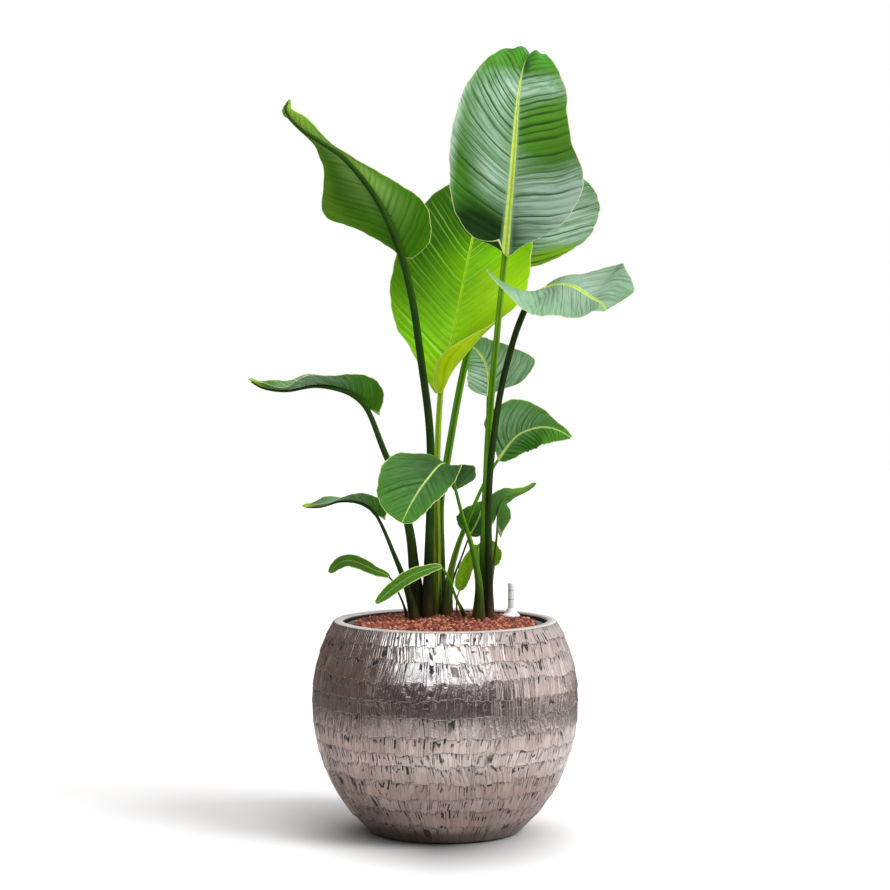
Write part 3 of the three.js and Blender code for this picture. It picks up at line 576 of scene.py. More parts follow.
def make_piece(name, points, faces, materials, face_slots=None, uv_maps=None, vectors=None):
    """A smooth mesh object from points in mm, with UV maps and vector attributes per point."""
    mesh = bpy.data.meshes.new(name)
    mesh.from_pydata((np.asarray(points, float) * MM).tolist(), [], [list(f) for f in faces])
    for material in materials:
        mesh.materials.append(material)
    if face_slots is not None:
        mesh.polygons.foreach_set("material_index", np.asarray(face_slots, np.int32))
    mesh.polygons.foreach_set("use_smooth", np.ones(len(mesh.polygons), bool))
    corners = np.zeros(len(mesh.loops), np.int32)
    mesh.loops.foreach_get("vertex_index", corners)
    for layer_name, values in (uv_maps or {}).items():
        layer = mesh.uv_layers.new(name=layer_name)
        flat = np.asarray(values, np.float32)[corners]
        layer.data.foreach_set("uv", flat.ravel())
    for layer_name, values in (vectors or {}).items():
        layer = mesh.attributes.new(layer_name, "FLOAT_VECTOR", "POINT")
        layer.data.foreach_set("vector", np.asarray(values, np.float32).ravel())
    mesh.validate()
    mesh.update()
    piece = bpy.data.objects.new(name, mesh)
    bpy.context.scene.collection.objects.link(piece)
    return piece


def place(piece, slot, *nodes):
    """The piece rides on the plant's one body, and stands for the CAD nodes that are named."""
    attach(piece, "root")
    if nodes:
        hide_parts(*nodes)
    return piece


def grid_faces(rows, columns, closed=False, start=0):
    """Quads between rows of points. A closed grid joins the last column to the first."""
    last = columns if closed else columns - 1
    i, j = np.meshgrid(np.arange(rows - 1), np.arange(last), indexing="ij")
    following = (j + 1) % columns
    a, b = i * columns + j, i * columns + following
    quads = np.stack([a, b, b + columns, a + columns], -1).reshape(-1, 4)
    return quads + start


def smoothstep(low, high, value):
    """A smooth rise from 0 at "low" to 1 at "high"."""
    t = np.clip((value - low) / (high - low), 0, 1)
    return t * t * (3 - 2 * t)


def ring_noise(random, count, spread):
    """Random values round a ring, from -1 to 1, softened over "spread" of them."""
    values = random.normal(size=count)
    reach = np.arange(-3 * spread, 3 * spread + 1)
    weights = np.exp(-(reach / spread) ** 2)
    soft = sum(w * np.roll(values, r) for w, r in zip(weights, reach))
    return soft / np.abs(soft).max()


def rounded(profile, radius, steps=4):
    """A profile of radius and height whose marked corners are rounded. A mark is a third value."""
    made = []
    for i, corner in enumerate(profile):
        here = np.array(corner[:2], float)
        if len(corner) < 3:
            made.append(here)
            continue
        before = np.array(profile[i - 1][:2], float) - here
        after = np.array(profile[i + 1][:2], float) - here
        size = min(radius * corner[2], np.linalg.norm(before) / 2, np.linalg.norm(after) / 2)
        start = here + before / np.linalg.norm(before) * size
        end = here + after / np.linalg.norm(after) * size
        for k in range(steps + 1):
            t = k / steps
            made.append((1 - t) ** 2 * start + 2 * t * (1 - t) * here + t * t * end)
    return made


def end_caps(rows, columns, foot, top, start=0):
    """Triangles from a closed grid's first row to the point "foot", and its last to "top"."""
    faces = []
    last = start + (rows - 1) * columns
    for j in range(columns):
        k = (j + 1) % columns
        faces.append([start + k, start + j, foot])
        faces.append([last + j, last + k, top])
    return faces


def lathe(profile, segments, centre=(0, 0)):
    """Points and faces of a closed solid turned round an upright axis. The profile starts and
    ends on the axis, and runs from the bottom up the outside."""
    angles = 2 * np.pi * np.arange(segments) / segments
    points = [[*centre, profile[0][1]]]
    for radius, height in profile[1:-1]:
        x, y = centre[0] + radius * np.cos(angles), centre[1] + radius * np.sin(angles)
        points.extend(np.stack([x, y, np.full(segments, height)], -1).tolist())
    points.append([*centre, profile[-1][1]])
    rings = len(profile) - 2
    faces = end_caps(rings, segments, 0, len(points) - 1, 1)
    faces.extend(grid_faces(rings, segments, True, 1).tolist())
    return np.array(points), faces


# Leaf shapes

def along(values, share):
    """Values of an evenly spaced list at shares of its length, through a smooth curve."""
    values = np.asarray(values, float)
    last = len(values) - 1
    spot = np.clip(share, 0, 1) * last
    i = np.minimum(spot.astype(int), last - 1)
    f = spot - i
    a, b = values[np.maximum(i - 1, 0)], values[i]
    c, d = values[i + 1], values[np.minimum(i + 2, last)]
    square, cube = 2 * a - 5 * b + 4 * c - d, 3 * b - a - 3 * c + d
    return 0.5 * (2 * b + (c - a) * f + square * f ** 2 + cube * f ** 3)


def unit(vectors):
    """The vectors at length 1."""
    return vectors / np.linalg.norm(vectors, axis=-1, keepdims=True)


def along_directions(directions, share):
    """Directions at shares of the way through an evenly spaced list of them."""
    values = unit(np.array(directions, float))
    spot = np.clip(share, 0, 1) * (len(values) - 1)
    i = np.minimum(spot.astype(int), len(values) - 2)
    f = (spot - i)[:, None]
    return unit(values[i] * (1 - f) + values[i + 1] * f)


def grain_height(x, y):
    """The height of the bed of granules, which rises a little in the middle."""
    distance = np.hypot(x - MOUND_X, y - MOUND_Y)
    return GRAIN_EDGE + MOUND_RISE * np.exp(-((distance / MOUND_SPREAD) ** 2))


class Spine:
    """The smooth line of a leaf from its root to its tip, measured along its length."""

    def __init__(self, leaf):
        x, y = leaf["stalk"][0]
        root = [[x, y, ROOT_Z], [x, y, GRAIN_EDGE + MOUND_RISE]]
        corners = np.array([*root, *leaf["stalk"][1:], *leaf["rib"]], float)
        ends = 2 * corners[0] - corners[1], 2 * corners[-1] - corners[-2]
        self.corners = np.vstack([ends[0], corners, ends[1]])
        self.parts = len(corners) - 1
        steps = SPINE_STEPS * self.parts
        table = self.curve(np.arange(steps + 1) / steps)[0]
        pieces = np.linalg.norm(np.diff(table, axis=0), axis=1)
        self.lengths = np.concatenate([[0], np.cumsum(pieces)])
        self.length = self.lengths[-1]
        self.start = self.lengths[SPINE_STEPS * len(leaf["stalk"])]
        self.soil = self.lengths[SPINE_STEPS]
        self.radii = leaf["radius"]

    def curve(self, share):
        """Points and directions at shares of the way through the corners."""
        spot = np.clip(share, 0, 1) * self.parts
        i = np.minimum(spot.astype(int), self.parts - 1)
        w = (spot - i)[:, None]
        p = [self.corners[i + k] for k in range(4)]
        d = [np.linalg.norm(p[k + 1] - p[k], axis=1, keepdims=True) ** 0.5 for k in range(3)]
        t1 = (p[1] - p[0]) / d[0] - (p[2] - p[0]) / (d[0] + d[1]) + (p[2] - p[1]) / d[1]
        t2 = (p[2] - p[1]) / d[1] - (p[3] - p[1]) / (d[1] + d[2]) + (p[3] - p[2]) / d[2]
        t1, t2 = t1 * d[1], t2 * d[1]
        square = 3 * (p[2] - p[1]) - 2 * t1 - t2
        cube = 2 * (p[1] - p[2]) + t1 + t2
        points = p[1] + t1 * w + square * w ** 2 + cube * w ** 3
        return points, unit(t1 + 2 * square * w + 3 * cube * w ** 2)

    def at(self, distance):
        """Points and directions at distances from the root."""
        steps = len(self.lengths) - 1
        return self.curve(np.interp(distance, self.lengths, np.arange(steps + 1) / steps))

    def radius(self, distance):
        """The stalk's or the midrib's radius at distances from the root."""
        root, top, tip = self.radii
        low = np.clip((distance - self.soil) / (self.start - self.soil), 0, 1)
        high = np.clip((distance - self.start) / (self.length - self.start), 0, 1)
        stalk = top + (root - top) * (1 - low) ** STALK_TAPER
        rib = tip + (top - tip) * (1 - high) ** RIB_TAPER
        return np.where(distance < self.start, stalk, rib)

    def blade_distance(self, share):
        """Distances from the root along the blade, closer together at its base and tip."""
        return self.start + (self.length - self.start) * (1 - np.cos(np.pi * share)) / 2


def spot(share, across, centre, side, spread, reach):
    """How near the places of a blade are to a spot on it: 1 in its middle, then less."""
    return np.exp(-((share - centre) / spread) ** 2 - ((across - side) / reach) ** 2)


def tint_zones(zones, share, across):
    """Dark, lime and bloom of a blade at its shares and places across. Dark and bloom carry painted
    shade and sheen.
    """
    tone = np.zeros((*np.broadcast(share, across).shape, 3))
    for *place_and_size, dark, lime, bloom in zones:
        near = spot(share, across, *place_and_size)
        tone += near[..., None] * np.array([dark, lime, bloom])
    return tone


def stalk_directions(tangent, facing):
    """At each point of a stalk, two directions across it that don't twist along it, and the
    angle from the first one to the side that the blade's upper face looks in."""
    across = np.array([0.0, -1.0, 0.0])
    first, second, wanted = [], [], []
    for direction, face in zip(tangent, facing):
        across = unit(across - direction * (across @ direction))
        first.append(across)
        second.append(np.cross(direction, across))
        wanted.append(face - direction * (face @ direction))
    first, second, wanted = np.array(first), np.array(second), np.array(wanted)
    toward = np.arctan2(np.sum(wanted * second, 1), np.sum(wanted * first, 1))
    return first[:, None], second[:, None], toward[:, None]


def stalk_piece(leaf, looks, settings, material):
    """A stalk with its channel on the side that the blade's upper face looks in, and the midrib
    under the blade that it runs on in."""
    spine = Spine(leaf)
    rib_length = spine.length - spine.start
    bare = np.linspace(0, spine.start, max(24, int(spine.start / STALK_ROW)))
    rib = np.linspace(spine.start, spine.length, max(20, int(rib_length / RIB_ROW)))
    distance = np.concatenate([bare[:-1], rib[:-1]])
    point, tangent = spine.at(distance)
    share = np.clip((distance - spine.start) / rib_length, 0, 1)
    first, second, toward = stalk_directions(tangent, along_directions(leaf["face"], share))
    angle = 2 * np.pi * (np.arange(STALK_SIDES) + 0.5) / STALK_SIDES
    gap = (angle - toward + np.pi) % (2 * np.pi) - np.pi
    radius = spine.radius(distance)[:, None]
    above = np.clip((distance - spine.soil) / (spine.start - spine.soil), 0, 1)[:, None]
    open_share = smoothstep(0.02, 0.3, above) * (1 - smoothstep(0, 0.06, share[:, None]))
    channel = settings.channel * open_share * np.exp(-(gap / CHANNEL_ANGLE) ** 2)
    edges = EDGE_SWELL * open_share * np.exp(-((np.abs(gap) - EDGE_ANGLE) / EDGE_SPREAD) ** 2)
    random = np.random.default_rng(len(leaf["name"]) * 31 + int(leaf["stalk"][0][0]) % 97)
    sheath = 1 - smoothstep(0, 0.16, above)
    sheath = SHEATH_SWELL * sheath * np.sin(gap * 1.5 + random.uniform(0, 6))
    knobs = np.sin(distance[:, None] / KNOB_SPACING + random.uniform(0, 6)) * np.sin(gap + 1)
    foot = FOOT_SWELL * (1 - smoothstep(0, 0.3, above))
    size = radius * (1 - channel + edges + sheath + KNOB_SWELL * knobs + foot)
    ring = (
        point[:, None] + first * (size * np.cos(angle))[..., None]
        + second * (size * np.sin(angle))[..., None]
    )
    rows, sides = size.shape
    points = np.vstack([ring.reshape(-1, 3), point[0], point[-1]])
    faces = grid_faces(rows, sides, True).tolist()
    faces += end_caps(rows, sides, rows * sides, rows * sides + 1)
    fibre = np.stack([
        radius * np.cos(angle), radius * np.sin(angle), np.repeat(distance[:, None], sides, 1),
    ], -1)
    tone = np.zeros((rows, sides, 3))
    for centre, spread, *amounts in looks["bands"]:
        near = np.exp(-((above - centre) / spread) ** 2)
        tone += near[..., None] * np.array(amounts)
    edge = np.stack([
        np.exp(-((np.abs(gap) - 0.72) / 0.20) ** 2) * open_share,
        np.exp(-(gap / 0.4) ** 2) * open_share,
        np.repeat(above, sides, 1),
    ], -1)

    def with_ends(values):
        return np.vstack([values.reshape(-1, 3), values[0, 0], values[-1, 0]])

    return make_piece(
        "leafstalk_" + leaf["name"], points, faces, [material],
        vectors={
            "fibre": with_ends(fibre) * MM, "tone": with_ends(tone), "channel": with_ends(edge),
        },
    )


def rib_widths(widths):
    """Half widths along a midrib. One given only at its ends has their mean in the middle."""
    if len(widths) > 2:
        return widths
    return [widths[0], np.mean(widths), np.mean(widths), widths[1]]


class Blade:
    """The middle surface of a blade, in rows from its base to its tip and in columns from its
    left margin to its right one."""

    def __init__(self, leaf, looks, settings):
        self.leaf, self.looks, self.settings = leaf, looks, settings
        self.spine = Spine(leaf)
        span = self.spine.length - self.spine.start
        widest = max(*leaf["left"]["width"], *leaf["right"]["width"])
        rows = int(np.clip(span / BLADE_ROW, 36, 230))
        columns = int(np.clip(widest / BLADE_COLUMN, 9, 40))
        even = np.linspace(0, 1, rows + 1)
        self.fraction = np.unique([*even, 0.3 / rows, 1 - 0.3 / rows])[:, None]
        self.share = np.arccos(1 - 2 * self.fraction) / np.pi
        turn = np.linspace(-1, 1, 2 * columns + 1)[None] * COLUMN_TURN
        self.across = np.sin(turn) / np.sin(COLUMN_TURN)
        self.distance = self.spine.blade_distance(self.share)
        self.rib = along(rib_widths(looks["rib"]), self.fraction)
        self.random = np.random.default_rng(int(abs(leaf["rib"][0][2])) + len(leaf["name"]))

    def one_half(self, name, phase, rise):
        """One half's way out from the midrib, height, way back to the base, vein count and
        distance to its margin."""
        shape, looks, share = self.leaf[name], self.looks, self.share
        reach = np.abs(self.across)
        fold = np.radians(along(shape["fold"], share))
        curl = np.radians(along(shape["curl"], share))
        width = np.maximum(along(shape["width"], share), 2)
        wander = sum(
            np.sin(share * count + self.random.uniform(0, 6)) * height
            for count, height in MARGIN_WAVES
        )
        frill = self.settings.frill / MM * np.minimum(width / 30, 1)
        width = width + frill * wander * reach ** 2
        # The cross-section, then what bulges, waves and hangs back
        out, up = np.zeros_like(width), np.zeros_like(width)
        for i in range(CROSS_STEPS):
            angle = fold + curl * reach * (i + 0.5) / CROSS_STEPS
            out += np.cos(angle) * width * reach / CROSS_STEPS
            up += np.sin(angle) * width * reach / CROSS_STEPS
        for *place_and_size, height in looks.get("swells", ()):
            near = spot(self.fraction, self.across, *place_and_size)
            up += height * near * smoothstep(0, 0.12, reach)
        wave = np.sin(2 * np.pi * self.leaf["waves"] * share + phase) * np.sin(np.pi * share)
        up += self.leaf["wave"] * reach ** 2 * wave
        lobe = shape["lobe"] * reach ** looks.get("lobe_bend", 1)
        lobe = lobe * np.maximum(0, 1 - share / LOBE_SHARE) ** 2
        # The veins, the pleats between them and the crease along the midrib
        from_rib = reach * width
        lean = along(looks.get("lean", VEIN_LEAN), self.fraction)
        shift = math.tan(math.radians(rise)) * lean * from_rib + looks["bend"] * from_rib ** 2
        warp = 1.6 * np.sin(self.distance / 31 + phase) + 1.1 * np.sin(from_rib / 13 + phase)
        veins = (self.distance - lobe - shift + warp) / looks["pleat"]
        depth = smoothstep(1, 5, from_rib - self.rib) * smoothstep(0.2, 8, width - from_rib)
        groove = np.abs(np.cos(np.pi * veins)) ** 3
        up += self.settings.pleat / MM * (0.5 - groove) * depth
        crease = np.clip(1 - (from_rib / self.rib) ** 2, 0, 1)
        up += 0.22 * self.rib * crease * np.minimum(width / (3 * self.rib), 1)
        return out * np.sign(self.across), up, lobe, veins, width - from_rib

    def surface(self):
        """The surface's points and their measures: vein count, distance from the midrib as a
        share of its half width, and distance to the edge in mm."""
        left = self.one_half("left", LEFT_PHASE, self.looks["rise"][0])
        right = self.one_half("right", RIGHT_PHASE, self.looks["rise"][1])
        out, up, back, veins, margin = (
            np.where(self.across < 0, *halves) for halves in zip(left, right)
        )
        spine, distance = self.spine, self.distance[:, 0]
        point, tangent = spine.at(distance)
        facing = along_directions(self.leaf["face"], self.fraction[:, 0])
        normal = unit(facing - tangent * np.sum(facing * tangent, 1, keepdims=True))
        sideways = np.cross(tangent, normal)
        lift = (spine.radius(distance) + BLADE_THICKNESS / 2 - BLADE_SINK)[:, None]
        points = (
            point[:, None] + normal[:, None] * (lift + up)[..., None]
            + sideways[:, None] * out[..., None] - tangent[:, None] * back[..., None]
        )
        to_end = np.minimum(distance - spine.start, spine.length - distance)[:, None]
        edge = np.minimum(margin, to_end * 2 + 0.4)
        return points, np.stack([veins, np.abs(out) / self.rib, edge], -1)


def blade_piece(leaf, looks, settings, materials):
    """A blade with its upper and lower face, joined all round by a thin margin."""
    blade = Blade(leaf, looks, settings)
    grid, measures = blade.surface()
    rows, columns = grid.shape[:2]
    i, j = np.arange(rows), np.arange(columns)
    forward = grid[np.minimum(i + 1, rows - 1)] - grid[np.maximum(i - 1, 0)]
    sideways = grid[:, np.minimum(j + 1, columns - 1)] - grid[:, np.maximum(j - 1, 0)]
    normal = unit(np.cross(sideways, forward))
    thick = BLADE_THICKNESS / 2 * (0.45 + 0.55 * smoothstep(0, 5, measures[..., 2]))[..., None]
    points = np.vstack([
        (grid + normal * thick).reshape(-1, 3), (grid - normal * thick).reshape(-1, 3),
    ])
    quads = grid_faces(rows, columns)
    below = rows * columns
    last = (rows - 1) * columns
    margin = np.concatenate([
        j[:-1], i[:-1] * columns + columns - 1, last + j[:0:-1], i[:0:-1] * columns,
    ])
    after = np.roll(margin, -1)
    skirt = np.stack([margin, margin + below, after + below, after], -1)
    faces = np.vstack([quads, quads[:, ::-1] + below, skirt])
    slots = np.repeat([0, 1, 0], [len(quads), len(quads), len(skirt)])
    tone = tint_zones(looks["zones"], blade.fraction, blade.across)
    lengthwise = np.stack(np.broadcast_arrays(blade.fraction, blade.across), -1)

    def both_faces(values):
        return np.vstack([values.reshape(-1, values.shape[-1])] * 2)

    return make_piece(
        "leafblade_" + leaf["name"], points, faces, materials, slots,
        uv_maps={"lengthwise": both_faces(lengthwise)},
        vectors={"veins": both_faces(measures), "tone": both_faces(tone)},
    )


# Pot

def pot_radius(z):
    """The radius of the pot's even globe at a height."""
    reach = np.where(np.asarray(z) < BELLY_HEIGHT, LOWER_REACH, UPPER_REACH)
    return BELLY_RADIUS * np.sqrt(1 - ((z - BELLY_HEIGHT) / reach) ** 2)


class Band:
    """One band of upright hammer strokes: how they count round the pot, how far each hangs
    below the ledge and bulges, and how they lean."""

    def __init__(self, index, middle, stroke_width, share, random):
        self.number = int(round(2 * np.pi * float(pot_radius(middle)) / stroke_width))
        warp = sum(
            reach * np.sin(2 * np.pi * turns * share + random.uniform(0, 6))
            for turns, reach in STROKE_WAVES
        )
        self.count = self.number * share + warp
        self.hang = random.normal(size=self.number).clip(-1.6, 1.6)
        self.push = random.uniform(-1, 1, size=self.number)
        self.lean = (
            0.22 * np.sin(4 * np.pi * share + index * 1.9)
            + 0.16 * np.sin(10 * np.pi * share + index)
        )

    def step_and_part(self, count):
        """The number of the stroke that a count is in, and how far across it the count is."""
        return np.floor(count).astype(int) % self.number, count % 1

    def relief(self, count):
        """How far the strokes stand out there, as a share of the relief."""
        step, part = self.step_and_part(count)
        strength = 0.25 + 0.75 * np.abs(self.push[(step * 7 + 3) % self.number])
        return (np.sin(np.pi * part) ** 0.7 - 0.6) * strength + 0.45 * self.push[step]


def ledge_heights(bands, edges, angle, ragged, random):
    """The height of each ledge all round the pot, even at the foot and at the rim."""
    heights = [np.full(len(angle), edges[0])]
    for i in range(1, len(bands)):
        turned = len(BAND_EDGES) - i
        wander = sum(
            high * np.sin(turns * angle + turned * shift) for high, turns, shift in EDGE_WAVES
        )
        step, part = bands[i].step_and_part(bands[i].count)
        strokes = 0.55 * bands[i].hang[step] - 0.5 * np.sin(np.pi * part)
        rough = 0.8 * ring_noise(random, len(angle), 16)
        heights.append(edges[i] + 0.5 * wander + ragged * (strokes + rough))
    return [*heights, np.full(len(angle), edges[-1])]


def join_seam(piece, rows, columns):
    """Lets the stroke count go on over the seam at the back instead of starting again."""
    layer = piece.data.uv_layers["strokes"]
    flat = np.zeros(len(layer.data) * 2, np.float32)
    layer.data.foreach_get("uv", flat)
    flat = flat.reshape(-1, 2)
    corner = np.zeros(len(piece.data.loops), np.int32)
    piece.data.loops.foreach_get("vertex_index", corner)
    quads = corner[: (rows - 1) * columns * 4].reshape(rows - 1, columns, 4)[:, -1]
    for row in range(rows - 1):
        first = (row * columns + columns - 1) * 4
        for k, vertex in enumerate(quads[row]):
            if vertex % columns == 0:
                before, here = flat[first + (1 - k if k < 2 else 5 - k), 0], flat[first + k, 0]
                flat[first + k, 0] = here + round(float(before - here))
    layer.data.foreach_set("uv", flat.ravel())


def pot_piece(settings, materials):
    """The globe pot: overlapping bands of upright hammer strokes with ragged, undercut lower
    edges, the flat rim and the inner wall. The UV map counts the strokes round the pot and holds
    the metres below the ledge above."""
    columns = POT_COLUMNS
    share = np.arange(columns) / columns
    angle = np.pi / 2 + 2 * np.pi * share
    random = np.random.default_rng(POT_SEED)
    ledge, relief = settings.ledge / MM, settings.stroke_relief / MM
    width = settings.stroke_width / MM
    rows, strokes, measures, slots = [], [], [], []

    def add_row(radius, z, slot, below=FAR_FROM_LEDGE, count=0, tone=0):
        flat = np.zeros(columns)
        x, y = (radius + flat) * np.cos(angle), (radius + flat) * np.sin(angle)
        rows.append(np.stack([x, y, z + flat], -1))
        strokes.append(np.stack([count + flat, (below + flat) * MM], -1))
        measures.append(np.stack([below + flat, tone + flat, flat], -1))
        slots.append(slot)

    edges = [LOWEST_BAND, *reversed(BAND_EDGES), POT_HEIGHT - BELOW_RIM]
    bands = [
        Band(i, (edges[i] + edges[i + 1]) / 2, width, share, random)
        for i in range(len(edges) - 1)
    ]
    heights = ledge_heights(bands, edges, angle, settings.ragged / MM, random)
    add_row(pot_radius(0) - 8, 0, 0)
    add_row(pot_radius(0) - 2.5, 0, 0)
    add_row(pot_radius(0) - 1, 1.2, 0)
    for i, band in enumerate(bands):
        low, high = heights[i], heights[i + 1]
        slope = (pot_radius(edges[i + 1]) - pot_radius(edges[i])) / (edges[i + 1] - edges[i])
        tone = 0.5 + 0.5 * math.sin(i * 2.4)
        firm = 0.25 + 0.75 * smoothstep(-0.6, 0.6, ring_noise(random, columns, 22))
        # The lower lip, the middle and the top, which slips in under the ledge above
        places = [(low + up, out) for up, out in (LIP if i > 0 else [[0.0, 0.2]])]
        places.append(((low + high) / 2, 0.55))
        places.append((high - 0.7, 0.12))
        places.append((high - (0.1 if i < len(bands) - 1 else 0), 0.05))
        for z, out in places:
            count = band.count + band.lean * (z - low) / width
            even = pot_radius(edges[i]) + (z - edges[i]) * slope
            radius = even + ledge * out * firm + relief * band.relief(count)
            add_row(radius, z, 0, high - z, count + i * 1000, tone)
    # The rim with its inner edge, then the inner wall down to the floor
    for radius, z in (
        (pot_radius(POT_HEIGHT) - 1.6, POT_HEIGHT), (RIM_INNER_RADIUS + 1, POT_HEIGHT),
        (RIM_INNER_RADIUS, POT_HEIGHT - 1), (RIM_INNER_RADIUS, POT_HEIGHT - RIM_DEPTH),
    ):
        add_row(radius, z, 1)
    for z in (POT_HEIGHT - RIM_DEPTH - 2, 200, 90, POT_FLOOR):
        add_row(pot_radius(z) - POT_WALL, z, 1)

    count = len(rows)
    ends = np.zeros((2, 3))
    points = np.vstack([*rows, [[0, 0, 0]], [[0, 0, POT_FLOOR]]])
    faces = grid_faces(count, columns, True).tolist()
    faces += end_caps(count, columns, count * columns, count * columns + 1)
    all_slots = np.concatenate([np.repeat(slots[1:], columns), [0, 1] * columns])
    wrap = np.stack([
        BELLY_RADIUS * np.cos(np.tile(angle, count)), BELLY_RADIUS * np.sin(np.tile(angle, count)),
        points[:-2, 2],
    ], -1)
    piece = make_piece(
        "pot_hammered", points, faces, materials, all_slots,
        uv_maps={"strokes": np.vstack([*strokes, [[0, FAR_FROM_LEDGE * MM]] * 2])},
        vectors={
            "wrap": np.vstack([wrap, ends]) * MM,
            "ledge": np.vstack([*measures, [[FAR_FROM_LEDGE, 0, 0]] * 2]),
        },
    )
    join_seam(piece, count, columns)
    return piece


def liner_piece(settings, material):
    """The liner with a rounded lip and a small step inside its mouth."""
    base = POT_FLOOR + CLEARANCE
    profile = [
        [0, base], [98, base, 2], [137, 310, 0.5], [150, 310, 1], [150, 313, 1], [138.2, 313, 1],
        [137.4, 311.6, 0.5], [134.2, 311, 1], [133.9, 300], [95, base + 3, 1], [0, base + 3],
    ]
    points, faces = lathe(rounded(profile, settings.corner / MM), 160)
    return make_piece("liner_moulded", points, faces, [material])


# Node helpers

def put(tree, value, socket):
    """Joins a socket to another node's output, or sets its value."""
    if isinstance(value, bpy.types.NodeSocket):
        tree.links.new(value, socket)
    elif value is not None:
        socket.default_value = value


def add_node(tree, kind, inputs=(), **settings):
    """A new node with its settings, and with inputs given by name or by number."""
    node = tree.nodes.new(kind)
    for name, value in settings.items():
        setattr(node, name, value)
    for name, value in dict(inputs).items():
        put(tree, value, node.inputs[name])
    return node


# Granules

def pebble_nodes(tree, offset, size):
    """A low pebble whose surface is pushed in and out by noise."""
    ball = add_node(
        tree, "GeometryNodeMeshUVSphere", {"Segments": 8, "Rings": 5, "Radius": size},
    )
    place_now = tree.nodes.new("GeometryNodeInputPosition").outputs[0]
    shifted = add_node(
        tree, "ShaderNodeVectorMath", {0: place_now, 1: (offset, offset * 0.7, PEBBLE_SHIFT)},
    )
    noise = add_node(
        tree, "ShaderNodeTexNoise", {"Vector": shifted.outputs[0], "Scale": 260, "Detail": 1},
    )
    centred = add_node(
        tree, "ShaderNodeVectorMath", {0: noise.outputs["Color"], 1: (0.5, 0.5, 0.5)},
        operation="SUBTRACT",
    )
    scaled = add_node(
        tree, "ShaderNodeVectorMath", {0: centred.outputs[0], "Scale": size}, operation="SCALE",
    )
    moved = add_node(
        tree, "GeometryNodeSetPosition",
        {"Geometry": ball.outputs["Mesh"], "Offset": scaled.outputs[0]},
    )
    return moved.outputs["Geometry"]


def granule_tree():
    """Pebbles of a few shapes scattered over a bed, each turned, sized and toned at random."""
    tree = bpy.data.node_groups.new("Clay granule layer", "GeometryNodeTree")
    sockets = {}
    for name, kind in (
        ("Geometry", "Geometry"), ("Spacing", "Float"), ("Size", "Float"), ("Seed", "Int"),
        ("Clay", "Material"),
    ):
        made = tree.interface.new_socket(
            name=name, in_out="INPUT", socket_type="NodeSocket" + kind,
        )
        sockets[name] = made.identifier
    tree.interface.new_socket(name="Geometry", in_out="OUTPUT", socket_type="NodeSocketGeometry")
    given = tree.nodes.new("NodeGroupInput").outputs
    scatter = add_node(tree, "GeometryNodeDistributePointsOnFaces", {
        "Mesh": given["Geometry"], "Distance Min": given["Spacing"], "Density Max": 200000,
        "Seed": given["Seed"],
    }, distribute_method="POISSON")
    kinds = tree.nodes.new("GeometryNodeGeometryToInstance")
    for offset in PEBBLE_KINDS:
        tree.links.new(pebble_nodes(tree, offset, given["Size"]), kinds.inputs["Geometry"])
    turn, scale, tone = (
        add_node(tree, "FunctionNodeRandomValue", data_type=kind)
        for kind in ("FLOAT_VECTOR", "FLOAT_VECTOR", "FLOAT")
    )
    turn.inputs["Max"].default_value = (6.28, 6.28, 6.28)
    scale.inputs["Min"].default_value = (0.65, 0.65, 0.6)
    scale.inputs["Max"].default_value = (1.25, 1.15, 1.1)
    for node in (turn, scale, tone):
        tree.links.new(given["Seed"], node.inputs["Seed"])
    spread = add_node(tree, "GeometryNodeInstanceOnPoints", {
        "Points": scatter.outputs["Points"], "Instance": kinds.outputs[0], "Pick Instance": True,
        "Rotation": turn.outputs["Value"], "Scale": scale.outputs["Value"],
    })
    store = add_node(tree, "GeometryNodeStoreNamedAttribute", {
        "Name": "grain_tone", "Geometry": spread.outputs["Instances"],
        "Value": next(output for output in tone.outputs if output.enabled),
    }, domain="INSTANCE", data_type="FLOAT")
    real = add_node(tree, "GeometryNodeRealizeInstances", {"Geometry": store.outputs["Geometry"]})
    finish = add_node(
        tree, "GeometryNodeSetMaterial",
        {"Geometry": real.outputs["Geometry"], "Material": given["Clay"]},
    )
    add_node(tree, "NodeGroupOutput", {"Geometry": finish.outputs["Geometry"]})
    return tree, sockets


def granule_piece(settings, material):
    """Scatters clay granules over the top of the bed, and bakes them to one plain mesh."""
    rings, columns = 30, 120
    radius = np.linspace(0.5, GRAIN_REACH, rings)[:, None]
    angle = 2 * np.pi * np.arange(columns) / columns
    x, y = radius * np.cos(angle), radius * np.sin(angle)
    points = np.stack([x, y, grain_height(x, y) - 0.2], -1).reshape(-1, 3)
    faces = np.roll(grid_faces(rings, columns, True), 1, axis=1)
    bed = make_piece("granule_bed", points, faces, [material])
    tree, sockets = granule_tree()
    layer = bed.modifiers.new("granules", "NODES")
    layer.node_group = tree
    for name, value in (
        ("Spacing", settings.spacing), ("Size", settings.size), ("Seed", settings.seed),
        ("Clay", material),
    ):
        layer[sockets[name]] = value
    evaluated = bed.evaluated_get(bpy.context.evaluated_depsgraph_get())
    mesh = bpy.data.meshes.new_from_object(evaluated)
    bed.modifiers.remove(layer)
    bpy.data.objects.remove(bed)
    mesh.name = "granule_layer"
    mesh.polygons.foreach_set("use_smooth", np.zeros(len(mesh.polygons), bool))
    if not len(mesh.polygons):
        raise RuntimeError("no granules were made")
    piece = bpy.data.objects.new("granule_layer", mesh)
    bpy.context.scene.collection.objects.link(piece)
    return piece


# Water gauge

